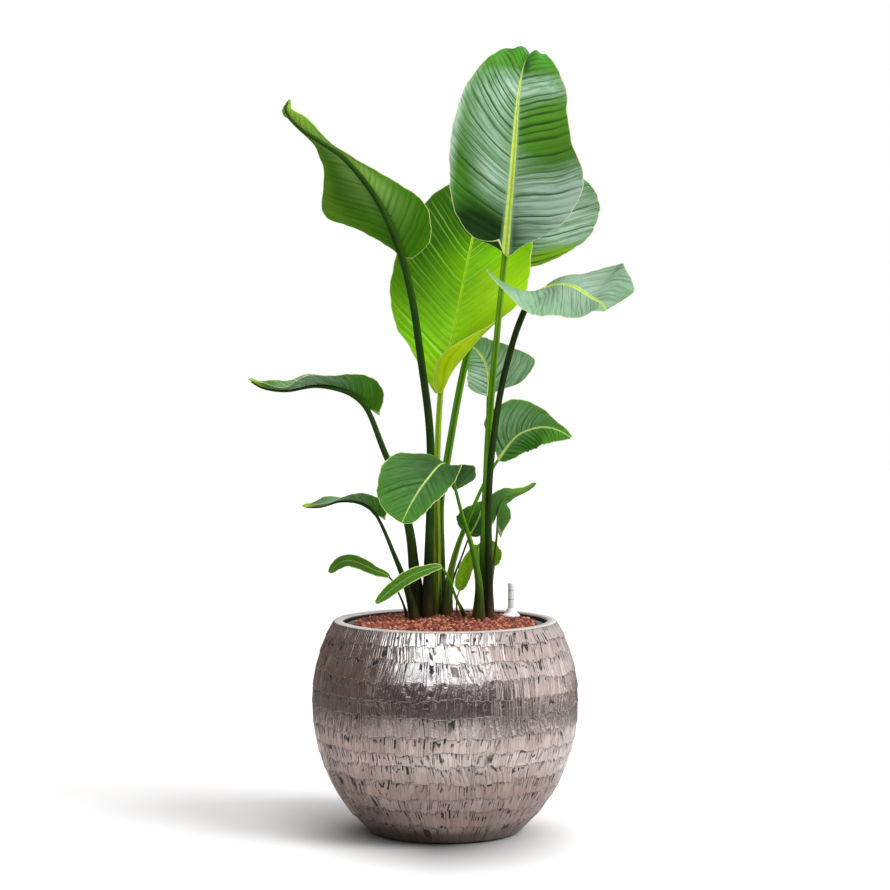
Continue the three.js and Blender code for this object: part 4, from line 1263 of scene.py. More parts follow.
def gauge_pieces(clear, white, red):
    """The clear tube with its cap, the collar that it stands in, and the float with its rod."""
    tube = [
        [0, 265], [3.9, 265], [4.9, 265, 0.6], [4.9, 362, 0.4], [5.2, 363, 1], [5.2, 367, 1],
        [4.6, 369, 1], [0, 369],
    ]
    collar = [
        [0, 316.5], [13.2, 316.5, 1], [13.5, 320, 1], [9, 323.5, 1], [7.4, 327, 1],
        [6.6, 330.5, 1], [5.3, 330.5, 1], [5.3, 329.8], [0, 329.8],
    ]
    floater = [
        [0, 265.5], [3.2, 265.5, 1], [3.2, 289, 1], [1.1, 292, 1], [1.1, 335, 0.6], [0, 335.2],
    ]
    made = []
    for name, profile, material, radius in (
        ("gauge_tube_clear", tube, clear, 1), ("gauge_collar_moulded", collar, white, 0.8),
        ("gauge_float_red", floater, red, 0.5),
    ):
        points, faces = lathe(rounded(profile, radius), 48, (GAUGE_X, GAUGE_Y))
        made.append(make_piece(name, points, faces, [material]))
    return made


# Shader helpers

def new_group(name, inputs, outputs):
    """A shader node group with named sockets, and its input and output nodes."""
    group = bpy.data.node_groups.new(name, "ShaderNodeTree")
    for socket, kind, value in inputs:
        made = group.interface.new_socket(name=socket, in_out="INPUT", socket_type=kind)
        if value is not None:
            made.default_value = value
    for socket, kind in outputs:
        group.interface.new_socket(name=socket, in_out="OUTPUT", socket_type=kind)
    given = group.nodes.new("NodeGroupInput").outputs
    return group, given, group.nodes.new("NodeGroupOutput")


class Shader:
    """Short words for adding nodes to a material's or group's tree."""

    def __init__(self, tree):
        self.tree = tree

    def fill(self, node, **values):
        """Gives a node its inputs, with _ for each space in their names."""
        for name, value in values.items():
            put(self.tree, value, node.inputs[name.replace("_", " ")])
        return node

    def math(self, operation, *values, clamp=False):
        node = add_node(
            self.tree, "ShaderNodeMath", enumerate(values), operation=operation, use_clamp=clamp,
        )
        return node.outputs[0]

    def times(self, a, b, clamp=False):
        return self.math("MULTIPLY", a, b, clamp=clamp)

    def times_plus(self, a, b, c):
        return self.math("MULTIPLY_ADD", a, b, c)

    def plus(self, a, b):
        return self.math("ADD", a, b)

    def minus(self, a, b, clamp=False):
        return self.math("SUBTRACT", a, b, clamp=clamp)

    def distance(self, x, y):
        """How far a place is from the middle."""
        return self.math("SQRT", self.plus(self.times(x, x), self.times(y, y)))

    def step(self, value, low, high, start=0.0, end=1.0):
        node = add_node(self.tree, "ShaderNodeMapRange", {
            "Value": value, "From Min": low, "From Max": high, "To Min": start, "To Max": end,
        }, interpolation_type="SMOOTHSTEP")
        return node.outputs["Result"]

    def attribute(self, name, output="Vector"):
        return add_node(self.tree, "ShaderNodeAttribute", attribute_name=name).outputs[output]

    def parts(self, vector):
        return add_node(self.tree, "ShaderNodeSeparateXYZ", {0: vector}).outputs

    def vector(self, *values):
        return add_node(self.tree, "ShaderNodeCombineXYZ", enumerate(values)).outputs[0]

    def stretched(self, vector, scale):
        inputs = {"Vector": vector, "Scale": scale}
        return add_node(self.tree, "ShaderNodeMapping", inputs).outputs[0]

    def objects(self):
        return self.tree.nodes.new("ShaderNodeTexCoord").outputs["Object"]

    def noise(self, vector, scale, detail=2.0, roughness=0.5):
        inputs = {"Vector": vector, "Scale": scale, "Detail": detail, "Roughness": roughness}
        return add_node(self.tree, "ShaderNodeTexNoise", inputs).outputs["Fac"]

    def white(self, value):
        node = add_node(
            self.tree, "ShaderNodeTexWhiteNoise", {"W": value}, noise_dimensions="1D",
        )
        return node.outputs["Value"]

    def mix(self, share, first, second):
        node = add_node(self.tree, "ShaderNodeMix", {"Factor": share}, data_type="RGBA")
        sockets = [socket for socket in node.inputs if socket.type == "RGBA"]
        for value, socket in zip((first, second), sockets):
            value = (*value, 1.0) if isinstance(value, (tuple, list)) else value
            put(self.tree, value, socket)
        return next(socket for socket in node.outputs if socket.type == "RGBA")

    def bump(self, height, distance, strength=1.0):
        node = self.tree.nodes.new("ShaderNodeBump")
        self.fill(node, Height=height, Strength=strength, Distance=distance)
        return node.outputs["Normal"]

    def group(self, tree, **values):
        node = add_node(self.tree, "ShaderNodeGroup", node_tree=tree)
        return self.fill(node, **values).outputs


def new_material(name):
    """A material, the words for its tree and its Principled node."""
    material = bpy.data.materials.new(name)
    material.use_nodes = True
    return material, Shader(material.node_tree), material.node_tree.nodes["Principled BSDF"]


def shade(values, factor):
    """A lighter or darker colour."""
    return tuple(float(v) * factor for v in values)


FLOAT, VECTOR, COLOUR = "NodeSocketFloat", "NodeSocketVector", "NodeSocketColor"


def mottle_group():
    """Broad and fine irregular variation, from -1 to 1, and small specks from 0 to 1."""
    group, given, out = new_group(
        "Mottling", [("Place", VECTOR, None), ("Broad", FLOAT, 14.0), ("Fine", FLOAT, 160.0)],
        [("Broad", FLOAT), ("Fine", FLOAT), ("Specks", FLOAT)],
    )
    s = Shader(group)
    broad = s.noise(given["Place"], given["Broad"], 3, 0.6)
    fine = s.noise(given["Place"], given["Fine"], 3, 0.65)
    specks = s.noise(given["Place"], s.times(given["Fine"], 5.0), 1, 0.5)
    s.fill(
        out, Broad=s.times_plus(broad, 4.0, -2.0), Fine=s.times_plus(fine, 4.0, -2.0),
        Specks=s.step(specks, 0.68, 0.76),
    )
    return group


def vein_group():
    """Masks of a pleated blade from its vein measures: a thin groove at each main vein and a soft
    fold of painted shade beside it, both of uneven strength, an uneven tone for each pleat, streaks
    of painted sheen along the fine veins, the midrib, its sides and its channel of painted shade,
    the thin pale margin, and one height for all."""
    group, given, out = new_group(
        "Pleated veins",
        [("Measures", VECTOR, None), ("Place", VECTOR, None), ("Margin", FLOAT, 1.35)],
        [(name, FLOAT) for name in (
            "Groove", "Fold", "Pleat", "Silk", "Fine", "Rib", "Side", "Channel", "Margin", "Height",
        )],
    )
    s = Shader(group)
    turns, rib, edge = s.parts(given["Measures"])
    uneven = s.noise(s.vector(s.times(turns, 0.45), 0.0, 0.0), 1.0, 0)
    swayed = s.times_plus(uneven, 1.6, turns)
    swayed = s.times_plus(s.noise(given["Place"], 45.0, 2), 0.28, swayed)
    random = s.math("POWER", s.white(s.math("ROUND", swayed)), 1.1)
    strength = s.times(s.times_plus(random, 0.85, 0.15), s.step(edge, 2.0, 34.0, 0.35, 1.0))
    groove_wave = s.math("ABSOLUTE", s.math("COSINE", s.times(swayed, math.pi)))
    groove = s.times(s.step(groove_wave, 0.86, 1.0), strength)
    # The fold: painted shade on one side of each main vein
    part = s.minus(s.math("FRACT", s.plus(swayed, 0.5)), 0.5)
    fold = s.times(s.step(part, 0.42, 0.03), s.step(part, -0.10, 0.02))
    fold = s.times(fold, strength)
    # Streaks for the painted sheen along the fine veins
    sheen_streak_noise = s.noise(s.vector(s.times(swayed, 3.1), s.times(rib, 0.055), 0.0), 1.0, 4, 0.68)
    fine_wave = s.math("COSINE", s.times(swayed, 16 * math.pi))
    rib_mask = s.step(rib, 1.1, 0.85)
    off_rib = s.minus(1.0, rib_mask)
    # The channel along the midrib, where shade is painted
    channel = s.times(s.step(rib, 0.45, 0.1), rib_mask)
    height = s.times_plus(groove, -0.9, s.times(fine_wave, 0.10))
    height = s.times_plus(sheen_streak_noise, 0.5, height)
    s.fill(
        out, Groove=s.times(groove, off_rib), Fold=s.times(fold, off_rib),
        Pleat=s.white(s.plus(s.math("FLOOR", swayed), 0.5)), Silk=s.step(sheen_streak_noise, 0.34, 0.66),
        Fine=s.times(fine_wave, off_rib), Rib=rib_mask, Side=s.step(rib, 2.0, 1.1),
        Channel=channel, Margin=s.step(edge, given["Margin"], s.times(given["Margin"], 0.5)),
        Height=s.times_plus(channel, -0.8, s.times(height, off_rib)),
    )
    return group


def pulled(s, colour, amount, above, below, strength=1.0):
    """A colour that goes over to one colour where the amount is positive, and to another where
    it is negative. "strength" is a factor on the first."""
    colour = s.mix(s.times(amount, strength, clamp=True), colour, above)
    return s.mix(s.times(amount, -1.0, clamp=True), colour, below)


def tint_group():
    """Shifts a leaf colour by its painted tone: more or less lime, waxy bloom with painted sheen,
    and dark, which is partly painted shade and is painted sheen where negative. The bloom and its
    sheen lie in streaks."""
    group, given, out = new_group(
        "Leaf tint", [("Colour", COLOUR, None), ("Tone", VECTOR, None), ("Silk", FLOAT, 0.5)],
        [("Colour", COLOUR)],
    )
    s = Shader(group)
    dark, lime, bloom = s.parts(given["Tone"])
    # Bloom with painted sheen, in the sheen streaks
    bloom_sheen_streaks = s.times_plus(given["Silk"], 1.1, 0.35)
    tinted = pulled(s, given["Colour"], lime, (0.34, 0.56, 0.0), (0.025, 0.125, 0.0))
    tinted = pulled(s, tinted, bloom, (0.33, 0.46, 0.37), (0.03, 0.20, 0.001), bloom_sheen_streaks)
    # Dark: partly painted shade, and painted sheen where negative
    s.fill(out, Colour=pulled(s, tinted, dark, (0.002, 0.012, 0.002), (0.16, 0.30, 0.04)))
    return group


def blade_material(name, base, groups, line, under=False, rib_colour=PALE_RIB, fold=0.35, side=0):
    """A leathery blade: pleats with painted shade in their folds, fine veins with streaks of painted
    sheen, pale midrib with painted shade in its channel, pale margin, mottling and a waxy sheen.
    "line" is the brightness of the vein lines and how strong they are, "fold" how dark the painted
    shade on the pleats' folds is, and "side" how pale the blade is beside its midrib."""
    material, s, shader = new_material(name)
    place_vector = s.objects()
    veins = s.group(groups["veins"], Measures=s.attribute("veins"), Place=place_vector)
    mottle = s.group(groups["mottle"], Place=place_vector, Broad=13.0, Fine=150.0)
    body = s.mix(s.step(mottle["Broad"], -0.9, 0.9), shade(base, 0.72), shade(base, 1.3))
    body = s.mix(s.times(veins["Pleat"], 0.35), body, shade(base, 0.62))
    # Paler streaks of painted sheen along the fine veins
    body = s.mix(s.times(veins["Silk"], 0.30), body, shade(base, 1.9))
    tone = s.attribute("tone")
    body = s.group(groups["tint"], Colour=body, Tone=tone, Silk=veins["Silk"])["Colour"]
    # Painted shade on one side of each main vein's fold
    body = s.mix(s.times(veins["Fold"], fold), body, shade(base, 0.38))
    # The vein lines: pale ones are vein colour, dark ones partly vein colour and partly painted
    # shade in the grooves
    brightness, line_share = line
    paler = 0.12 * max(brightness - 1, 0)
    lines = tuple(min(part * brightness + paler, 1.0) for part in base)
    body = s.mix(s.times(veins["Groove"], line_share), body, lines)
    body = s.mix(s.step(veins["Fine"], 0.2, 1.0, 0.0, 0.10), body, shade(base, 2.2))
    body = s.mix(s.step(veins["Fine"], -0.2, -1.0, 0.0, 0.14), body, shade(base, 0.4))
    body = s.mix(s.times(mottle["Specks"], 0.15), body, (0.16, 0.14, 0.03))
    edge = s.mix(s.step(mottle["Fine"], -0.5, 1.2), (0.66, 0.72, 0.34), (0.46, 0.42, 0.17))
    body = s.mix(s.times(veins["Margin"], 0.68), body, edge)
    if not under:
        body = s.mix(s.times(veins["Side"], side), body, (0.22, 0.36, 0.22))
    rib = s.mix(s.step(mottle["Fine"], -0.8, 0.8), shade(rib_colour, 0.82), shade(rib_colour, 1.1))
    # Painted shade in the midrib's channel
    rib = s.mix(s.times(veins["Channel"], 0.45), rib, shade(rib_colour, 0.35))
    rough = s.step(mottle["Fine"], -1.2, 1.2, *((0.42, 0.56) if under else (0.32, 0.44)))
    height = s.times_plus(mottle["Fine"], 0.10, veins["Height"])
    s.fill(
        shader, Base_Color=s.mix(s.times(veins["Rib"], 0.2 if under else 0.95), body, rib),
        Roughness=s.times_plus(veins["Silk"], -0.06, rough),
        Normal=s.bump(height, 0.0006, 0.9), Specular_IOR_Level=0.06 if under else 0.14,
    )
    return material


def stalk_tint_group():
    """Shifts a stalk colour by its painted tone: lime and dark, more or less, and brown."""
    group, given, out = new_group(
        "Stalk tint", [("Colour", COLOUR, None), ("Tone", VECTOR, None)], [("Colour", COLOUR)],
    )
    s = Shader(group)
    dark, lime, brown = s.parts(given["Tone"])
    tinted = pulled(s, given["Colour"], lime, (0.22, 0.38, 0.008), (0.018, 0.075, 0.002))
    tinted = s.mix(s.times(brown, 1.0, clamp=True), tinted, (0.075, 0.024, 0.010))
    s.fill(out, Colour=pulled(s, tinted, dark, (0.004, 0.005, 0.003), (0.10, 0.21, 0.015)))
    return group


def stalk_material(name, base, groups):
    """A fibrous stalk with lengthwise streaks, pale channel edges and painted shade in its channel,
    nearly black with painted shade towards its foot, which has brown scars.
    """
    material, s, shader = new_material(name)
    fibre = s.attribute("fibre")
    streaks = s.noise(s.stretched(fibre, (1, 1, 0.03)), 900.0, 3, 0.6)
    broad = s.noise(s.stretched(fibre, (1, 1, 0.25)), 120.0, 3, 0.6)
    mottle = s.group(groups["mottle"], Place=s.objects(), Broad=18.0, Fine=220.0)
    edge, channel_shade, above = s.parts(s.attribute("channel"))
    body = s.mix(s.step(broad, 0.3, 0.7), shade(base, 0.7), shade(base, 1.3))
    body = s.group(groups["stalk_tint"], Colour=body, Tone=s.attribute("tone"))["Colour"]
    # Painted shade, nearly black, low on the stalk towards its foot
    body = s.mix(s.step(above, 0.27, 0.11, 0.0, 0.95), body, (0.007, 0.007, 0.003))
    body = s.mix(s.step(streaks, 0.42, 0.6, 0.0, 0.22), body, shade(base, 2.0))
    body = s.mix(s.step(streaks, 0.5, 0.36, 0.0, 0.4), body, shade(base, 0.4))
    body = s.mix(s.times(edge, 0.35), body, shade(base, 3.2))
    # Painted shade in the channel
    body = s.mix(s.times(channel_shade, 0.35), body, shade(base, 0.5))
    foot = s.times(s.step(above, 0.14, 0.0), s.step(broad, 0.35, 0.6))
    body = s.mix(s.times(foot, 0.7), body, (0.05, 0.022, 0.012))
    height = s.times_plus(streaks, 0.7, s.times(mottle["Fine"], 0.12))
    s.fill(
        shader, Base_Color=s.mix(s.times(mottle["Specks"], 0.3), body, (0.09, 0.06, 0.02)),
        Roughness=s.step(mottle["Fine"], -1.2, 1.2, 0.34, 0.52),
        Normal=s.bump(height, 0.0006, 0.8), Specular_IOR_Level=0.12,
    )
    return material


def comb_marks(s, wrap, below, apart, gap_random, start_random, stroke_random):
    """The dark marks between strokes, each with its own start, length and width, in patches, and the
    painted shadow line just below each ledge.
    """
    start = s.times_plus(s.math("POWER", start_random, 3.0), 9.0, -0.6)
    end = s.plus(start, s.times_plus(s.math("POWER", gap_random, 1.3), 14.0, 3.5))
    thick = s.times_plus(start_random, 0.13, 0.19)
    patchy = s.step(s.noise(wrap, 30.0, 3, 0.6), 0.34, 0.50)
    comb = s.times(s.minus(thick, apart), 14.0, clamp=True)
    comb = s.times(comb, s.times(s.minus(below, start), 1.5, clamp=True))
    comb = s.times(comb, s.times(s.minus(end, below), 0.5, clamp=True))
    comb = s.times(comb, s.times_plus(patchy, 0.5, 0.5))
    comb = s.times(comb, s.step(stroke_random, 0.0, 0.6, 0.35, 1.0))
    # A painted shadow line just below each ledge
    shadow_line = s.times(s.step(below, 1.7, 0.5), s.times(patchy, 0.35))
    return s.math("MAXIMUM", comb, shadow_line)


def hammered_material(metal, patina, groups):
    """Hammered metal with its strokes, patina, dark marks and a painted shadow line below each
    ledge, and painted shade that darkens it towards its foot.
    """
    material, s, shader = new_material("hammered_metal")
    wrap = s.attribute("wrap")
    below, tone = s.parts(s.attribute("ledge"))[:2]
    uv = add_node(s.tree, "ShaderNodeUVMap", uv_map="strokes")
    mottle = s.group(groups["mottle"], Place=wrap, Broad=9.0, Fine=90.0)
    wobble = s.noise(wrap, 160.0, 2, 0.6)
    count = s.times_plus(wobble, 0.34, s.parts(uv.outputs["UV"])[0])
    # The count's whole part numbers the strokes, and its fraction is the place across one
    part = s.math("FRACT", count)
    apart = s.math("MINIMUM", part, s.minus(1.0, part))
    gap_random = s.white(s.math("ROUND", count))
    stroke_random = s.white(s.plus(s.math("FLOOR", count), 0.5))
    start_random = s.white(s.plus(s.math("ROUND", count), 0.31))
    dark = comb_marks(s, wrap, below, apart, gap_random, start_random, stroke_random)
    crack = s.times(s.step(apart, 0.13, 0.02), s.step(gap_random, 0.15, 0.75, 0.1, 0.9))
    crack_patches = s.noise(s.stretched(wrap, (1, 1, 0.4)), 110.0, 1)
    crack = s.times(crack, s.step(crack_patches, 0.42, 0.62))
    streak = s.noise(s.stretched(wrap, (1, 1, 0.10)), 420.0, 2, 0.6)
    height_for_foot_shade = s.parts(wrap)[2]
    body = s.mix(s.step(mottle["Broad"], -0.9, 0.9), shade(metal, 0.86), shade(metal, 1.10))
    body = s.mix(s.step(stroke_random, 0.0, 1.0, 0.0, 0.45), body, shade(metal, 0.55))
    body = s.mix(s.times(tone, 0.26), body, (0.34, 0.25, 0.20))
    body = s.mix(s.step(streak, 0.52, 0.36, 0.0, 0.38), body, (0.16, 0.11, 0.09))
    body = s.mix(s.step(below, 6.0, 0.5, 0.0, 0.22), body, patina)
    # Painted shade: the metal darkens towards the foot
    body = s.mix(s.step(height_for_foot_shade, 0.095, 0.045, 0.0, 0.36), body, (0.30, 0.215, 0.19))
    body = s.mix(s.step(height_for_foot_shade, 0.030, 0.014, 0.0, 0.76), body, (0.10, 0.078, 0.07))
    body = s.mix(s.times(crack, 0.85), body, patina)
    specks = s.step(s.noise(wrap, 520.0, 1), 0.70, 0.76)
    specks = s.times(specks, s.step(below, 14.0, 3.0, 0.15, 0.9))
    dark = s.math("MAXIMUM", dark, s.times(specks, 0.8))
    rough = s.times_plus(crack, 0.25, s.step(mottle["Fine"], -1.2, 1.2, 0.15, 0.26))
    bulge = s.math("POWER", s.times(apart, 2.0, clamp=True), 0.6)
    height = s.times_plus(streak, 0.45, s.times(bulge, 0.8))
    height = s.times_plus(wobble, 0.35, height)
    height = s.times_plus(dark, -0.5, height)
    # Dark marks and specks, and the painted shadow lines below the ledges, turn nearly black
    s.fill(
        shader, Base_Color=s.mix(s.times(dark, 0.97), body, (0.007, 0.005, 0.004)),
        Metallic=s.minus(1.0, s.times(dark, 0.7)), Roughness=s.times_plus(dark, 0.3, rough),
        Normal=s.bump(height, 0.00045, 1.0),
    )
    return material


def rim_material(patina, groups):
    """The plain polished rim, and the wall below its inner edge, nearly black with painted shade."""
    material, s, shader = new_material("rim_metal")
    place_vector = s.objects()
    mottle = s.group(groups["mottle"], Place=place_vector, Broad=12.0, Fine=260.0)
    body = s.mix(s.step(mottle["Broad"], -0.8, 0.8), (0.48, 0.46, 0.445), (0.60, 0.58, 0.565))
    body = s.mix(s.times(mottle["Specks"], 0.5), body, patina)
    # Painted shade, nearly black, on the inner wall below the rim
    high, low = (POT_HEIGHT - 2.2) * MM, (POT_HEIGHT - 3.4) * MM
    inside = s.step(s.parts(place_vector)[2], high, low)
    s.fill(
        shader, Base_Color=s.mix(inside, body, (0.012, 0.012, 0.013)),
        Roughness=s.step(mottle["Fine"], -1, 1, 0.34, 0.5),
        Normal=s.bump(mottle["Fine"], 0.0001, 0.6), Metallic=0.35,
    )
    return material


def plastic_material(name, base, groups, rough=(0.38, 0.52), dust=0.25):
    """Moulded plastic with a fine grain, a little dust and small scuffs."""
    material, s, shader = new_material(name)
    mottle = s.group(groups["mottle"], Place=s.objects(), Broad=22.0, Fine=420.0)
    body = s.mix(s.step(mottle["Broad"], -0.9, 0.9), shade(base, 0.86), shade(base, 1.14))
    dusty = s.step(mottle["Fine"], 0.3, 1.6, 0.0, dust)
    s.fill(
        shader, Base_Color=s.mix(dusty, body, (0.45, 0.40, 0.36)),
        Roughness=s.step(mottle["Fine"], -1.2, 1.2, *rough),
        Normal=s.bump(mottle["Fine"], 0.00012, 0.6),
    )
    return material


def clear_tube_material(tint, groups):
    """Milky clear plastic with two generic printed rings and an uneven gloss."""
    material, s, shader = new_material("gauge_tube_plastic")
    coordinates = s.objects()
    height = s.parts(coordinates)[2]
    mottle = s.group(groups["mottle"], Place=coordinates, Broad=40.0, Fine=700.0)
    body = s.mix(s.step(mottle["Broad"], -1, 1), shade(tint, 0.9), tint)
    for ring in GAUGE_RINGS:
        off = s.math("ABSOLUTE", s.minus(height, ring * MM))
        body = s.mix(s.step(off, 0.0009, 0.0006, 0.0, 0.85), body, (0.42, 0.48, 0.10))
    s.fill(
        shader, Base_Color=body, Roughness=s.step(mottle["Fine"], -1, 1, 0.16, 0.3),
        Transmission_Weight=0.45, IOR=1.3,
    )
    return material


def clay_material(name, base, groups, loose):
    """Fired clay granules: red-brown, pink and grey ones, dusty and rough. The bed below the
    loose ones is nearly black, since little light gets between them."""
    material, s, shader = new_material(name)
    coordinates = s.objects()
    mottle = s.group(groups["mottle"], Place=coordinates, Broad=120.0, Fine=900.0)
    tone = s.attribute("grain_tone", "Fac") if loose else s.noise(coordinates, 220.0, 1)
    body = s.mix(s.step(tone, 0.0, 0.5), shade(base, 0.30), base)
    body = s.mix(s.step(tone, 0.5, 0.9), body, (0.46, 0.17, 0.10))
    body = s.mix(s.step(tone, 0.94, 0.98), body, (0.50, 0.32, 0.25))
    body = s.mix(s.step(mottle["Broad"], -0.9, 0.9, 0.0, 0.35), body, (0.24, 0.07, 0.05))
    body = s.mix(s.step(mottle["Fine"], 0.2, 1.5, 0.0, 0.3), body, (0.62, 0.42, 0.35))
    if not loose:
        body = s.mix(0.95, body, (0.012, 0.004, 0.003))
    s.fill(
        shader, Base_Color=body, Roughness=s.step(mottle["Fine"], -1, 1, 0.75, 0.92),
        Normal=s.bump(mottle["Fine"], 0.00025, 0.8), Specular_IOR_Level=0.3,
    )
    return material


def shared_groups():
    """The shader groups, made once and found again by name."""
    makers = {
        "mottle": ("Mottling", mottle_group), "veins": ("Pleated veins", vein_group),
        "tint": ("Leaf tint", tint_group), "stalk_tint": ("Stalk tint", stalk_tint_group),
    }
    return {key: bpy.data.node_groups.get(name) or make() for key, (name, make) in makers.items()}


# Operators

class PLANT_OT_make_pot(bpy.types.Operator):
    """Makes the hammered globe pot"""
    bl_idname = "plant.make_pot"
    bl_label = "Make Pot"

    def execute(self, context):
        settings = context.scene.plant_pot
        groups, patina = shared_groups(), tuple(settings.patina)
        hammered = hammered_material(tuple(settings.metal), patina, groups)
        pot = pot_piece(settings, [hammered, rim_material(patina, groups)])
        place(pot, "hammered_metal", "pot")
        return {"FINISHED"}


class PLANT_OT_make_liner(bpy.types.Operator):
    """Makes the moulded plastic liner in the pot"""
    bl_idname = "plant.make_liner"
    bl_label = "Make Liner"

    def execute(self, context):
        settings = context.scene.plant_liner
        material = plastic_material("liner_plastic", settings.colour, shared_groups())
        place(liner_piece(settings, material), "liner_plastic", "liner")
        return {"FINISHED"}


class PLANT_OT_make_granules(bpy.types.Operator):
    """Scatters the layer of clay granules over the bed"""
    bl_idname = "plant.make_granules"
    bl_label = "Make Granules"

    def execute(self, context):
        settings = context.scene.plant_granules
        groups, clay = shared_groups(), tuple(settings.clay)
        loose = clay_material("clay_granules", clay, groups, True)
        place(granule_piece(settings, loose), "clay_granules")
        bed = frame["nodes"]["granules"]
        bed.data.materials.clear()
        bed.data.materials.append(clay_material("clay_bed", clay, groups, False))
        return {"FINISHED"}


class PLANT_OT_make_gauge(bpy.types.Operator):
    """Makes the water gauge: clear tube, collar and float"""
    bl_idname = "plant.make_gauge"
    bl_label = "Make Gauge"

    def execute(self, context):
        settings = context.scene.plant_gauge
        groups, rough = shared_groups(), (0.3, 0.45)
        clear = clear_tube_material(tuple(settings.tube), groups)
        white = plastic_material("gauge_white_plastic", (0.72, 0.72, 0.70), groups, rough, 0.1)
        float_colour = tuple(settings.float_colour)
        red = plastic_material("gauge_red_plastic", float_colour, groups, rough, 0.05)
        tube, collar, floater = gauge_pieces(clear, white, red)
        place(tube, "gauge_clear", "gauge_tube")
        place(collar, "gauge_white", "gauge_collar")
        place(floater, "gauge_red", "gauge_float")
        return {"FINISHED"}


class PLANT_OT_make_stalks(bpy.types.Operator):
    """Makes all leaf stalks with their channels and midribs"""
    bl_idname = "plant.make_stalks"
    bl_label = "Make Stalks"

    def execute(self, context):
        settings = context.scene.plant_stalks
        groups = shared_groups()
        finishes = {
            name: stalk_material("stalk_" + name, tuple(getattr(settings, name)), groups)
            for name in ("green", "dark", "lime", "brown")
        }
        for leaf in LEAVES:
            looks = LOOKS[leaf["name"]]
            piece = stalk_piece(leaf, looks, settings, finishes[looks["stalk"]])
            place(piece, "stalk_" + looks["stalk"], "stalk_" + leaf["name"])
        return {"FINISHED"}


class PLANT_OT_make_blades(bpy.types.Operator):
    """Makes all leaf blades with their pleats, veins and margins"""
    bl_idname = "plant.make_blades"
    bl_label = "Make Blades"

    def execute(self, context):
        settings = context.scene.plant_blades
        groups = shared_groups()
        finishes = {}
        for name, base, below, line, rib_colour, fold, side in (
            ("green", settings.green, (0.055, 0.15, 0.03), (0.2, 0.8), PALE_RIB, 0.62, 0.45),
            ("olive", settings.olive, (0.030, 0.115, 0.0), (0.25, 0.8), PALE_RIB, 0.55, 0.45),
            ("lime", settings.lime, (0.46, 0.60, 0.002), (1.8, 0.42), LIME_RIB, 0.45, 0.0),
            ("grey_green", settings.grey_green, GREY_BELOW, (0.5, 0.2), PALE_RIB, 0.18, 0.3),
            ("pleated", settings.grey_green, GREY_BELOW, (0.3, 0.8), PALE_RIB, 0.75, 0.45),
        ):
            upper = blade_material(
                "blade_" + name, tuple(base), groups, line, False, rib_colour, fold, side,
            )
            lower = blade_material("underside_" + name, below, groups, (0.5, 0.4), True)
            finishes[name] = [upper, lower]
        for leaf in LEAVES:
            looks = LOOKS[leaf["name"]]
            materials = finishes[looks.get("finish", looks["blade"])]
            piece = blade_piece(leaf, looks, settings, materials)
            place(piece, "blade_" + looks["blade"], "blade_" + leaf["name"])
        return {"FINISHED"}


def studio_world():
    """White behind the object. For light and gloss: a softbox high at the front, a bright
    ceiling and right wall, a dim left wall and a dark horizon at the front."""
    world = bpy.data.worlds.new("studio")
    world.use_nodes = True
    s = Shader(world.node_tree)
    directions = world.node_tree.nodes.new("ShaderNodeTexCoord").outputs["Generated"]
    x, y, z = s.parts(directions)
    # The softbox, by the direction's turn from the front and by its height
    turn = s.math("ARCTAN2", x, s.times(y, -1.0))
    softbox_sides = s.times(s.step(turn, -0.88, -0.74), s.step(turn, 0.80, 0.55))
    softbox = s.times(softbox_sides, s.times(s.step(z, 0.37, 0.41), s.step(z, 0.99, 0.90)))
    # The walls from left to right, the dark horizon and the ceiling
    room = s.mix(s.step(x, -0.25, 0.85), (0.21, 0.165, 0.15), (1.36, 1.32, 1.33))
    horizon = s.times(s.step(y, -0.30, -0.60), s.step(z, 0.37, 0.27))
    room = s.mix(horizon, room, (0.10, 0.085, 0.085))
    room = s.mix(s.step(z, 0.55, 0.85), room, WHITE)
    path = world.node_tree.nodes.new("ShaderNodeLightPath").outputs
    reflected = s.mix(s.step(z, 0.66, 0.78), (2.35, 2.7, 2.9), (3.5, 4.0, 4.3))
    lamp = s.mix(path["Is Glossy Ray"], (1.9, 1.9, 1.9), reflected)
    room = s.mix(softbox, room, lamp)
    background = world.node_tree.nodes["Background"]
    s.fill(background, Color=s.mix(path["Is Camera Ray"], room, WHITE), Strength=1.0)
    return world


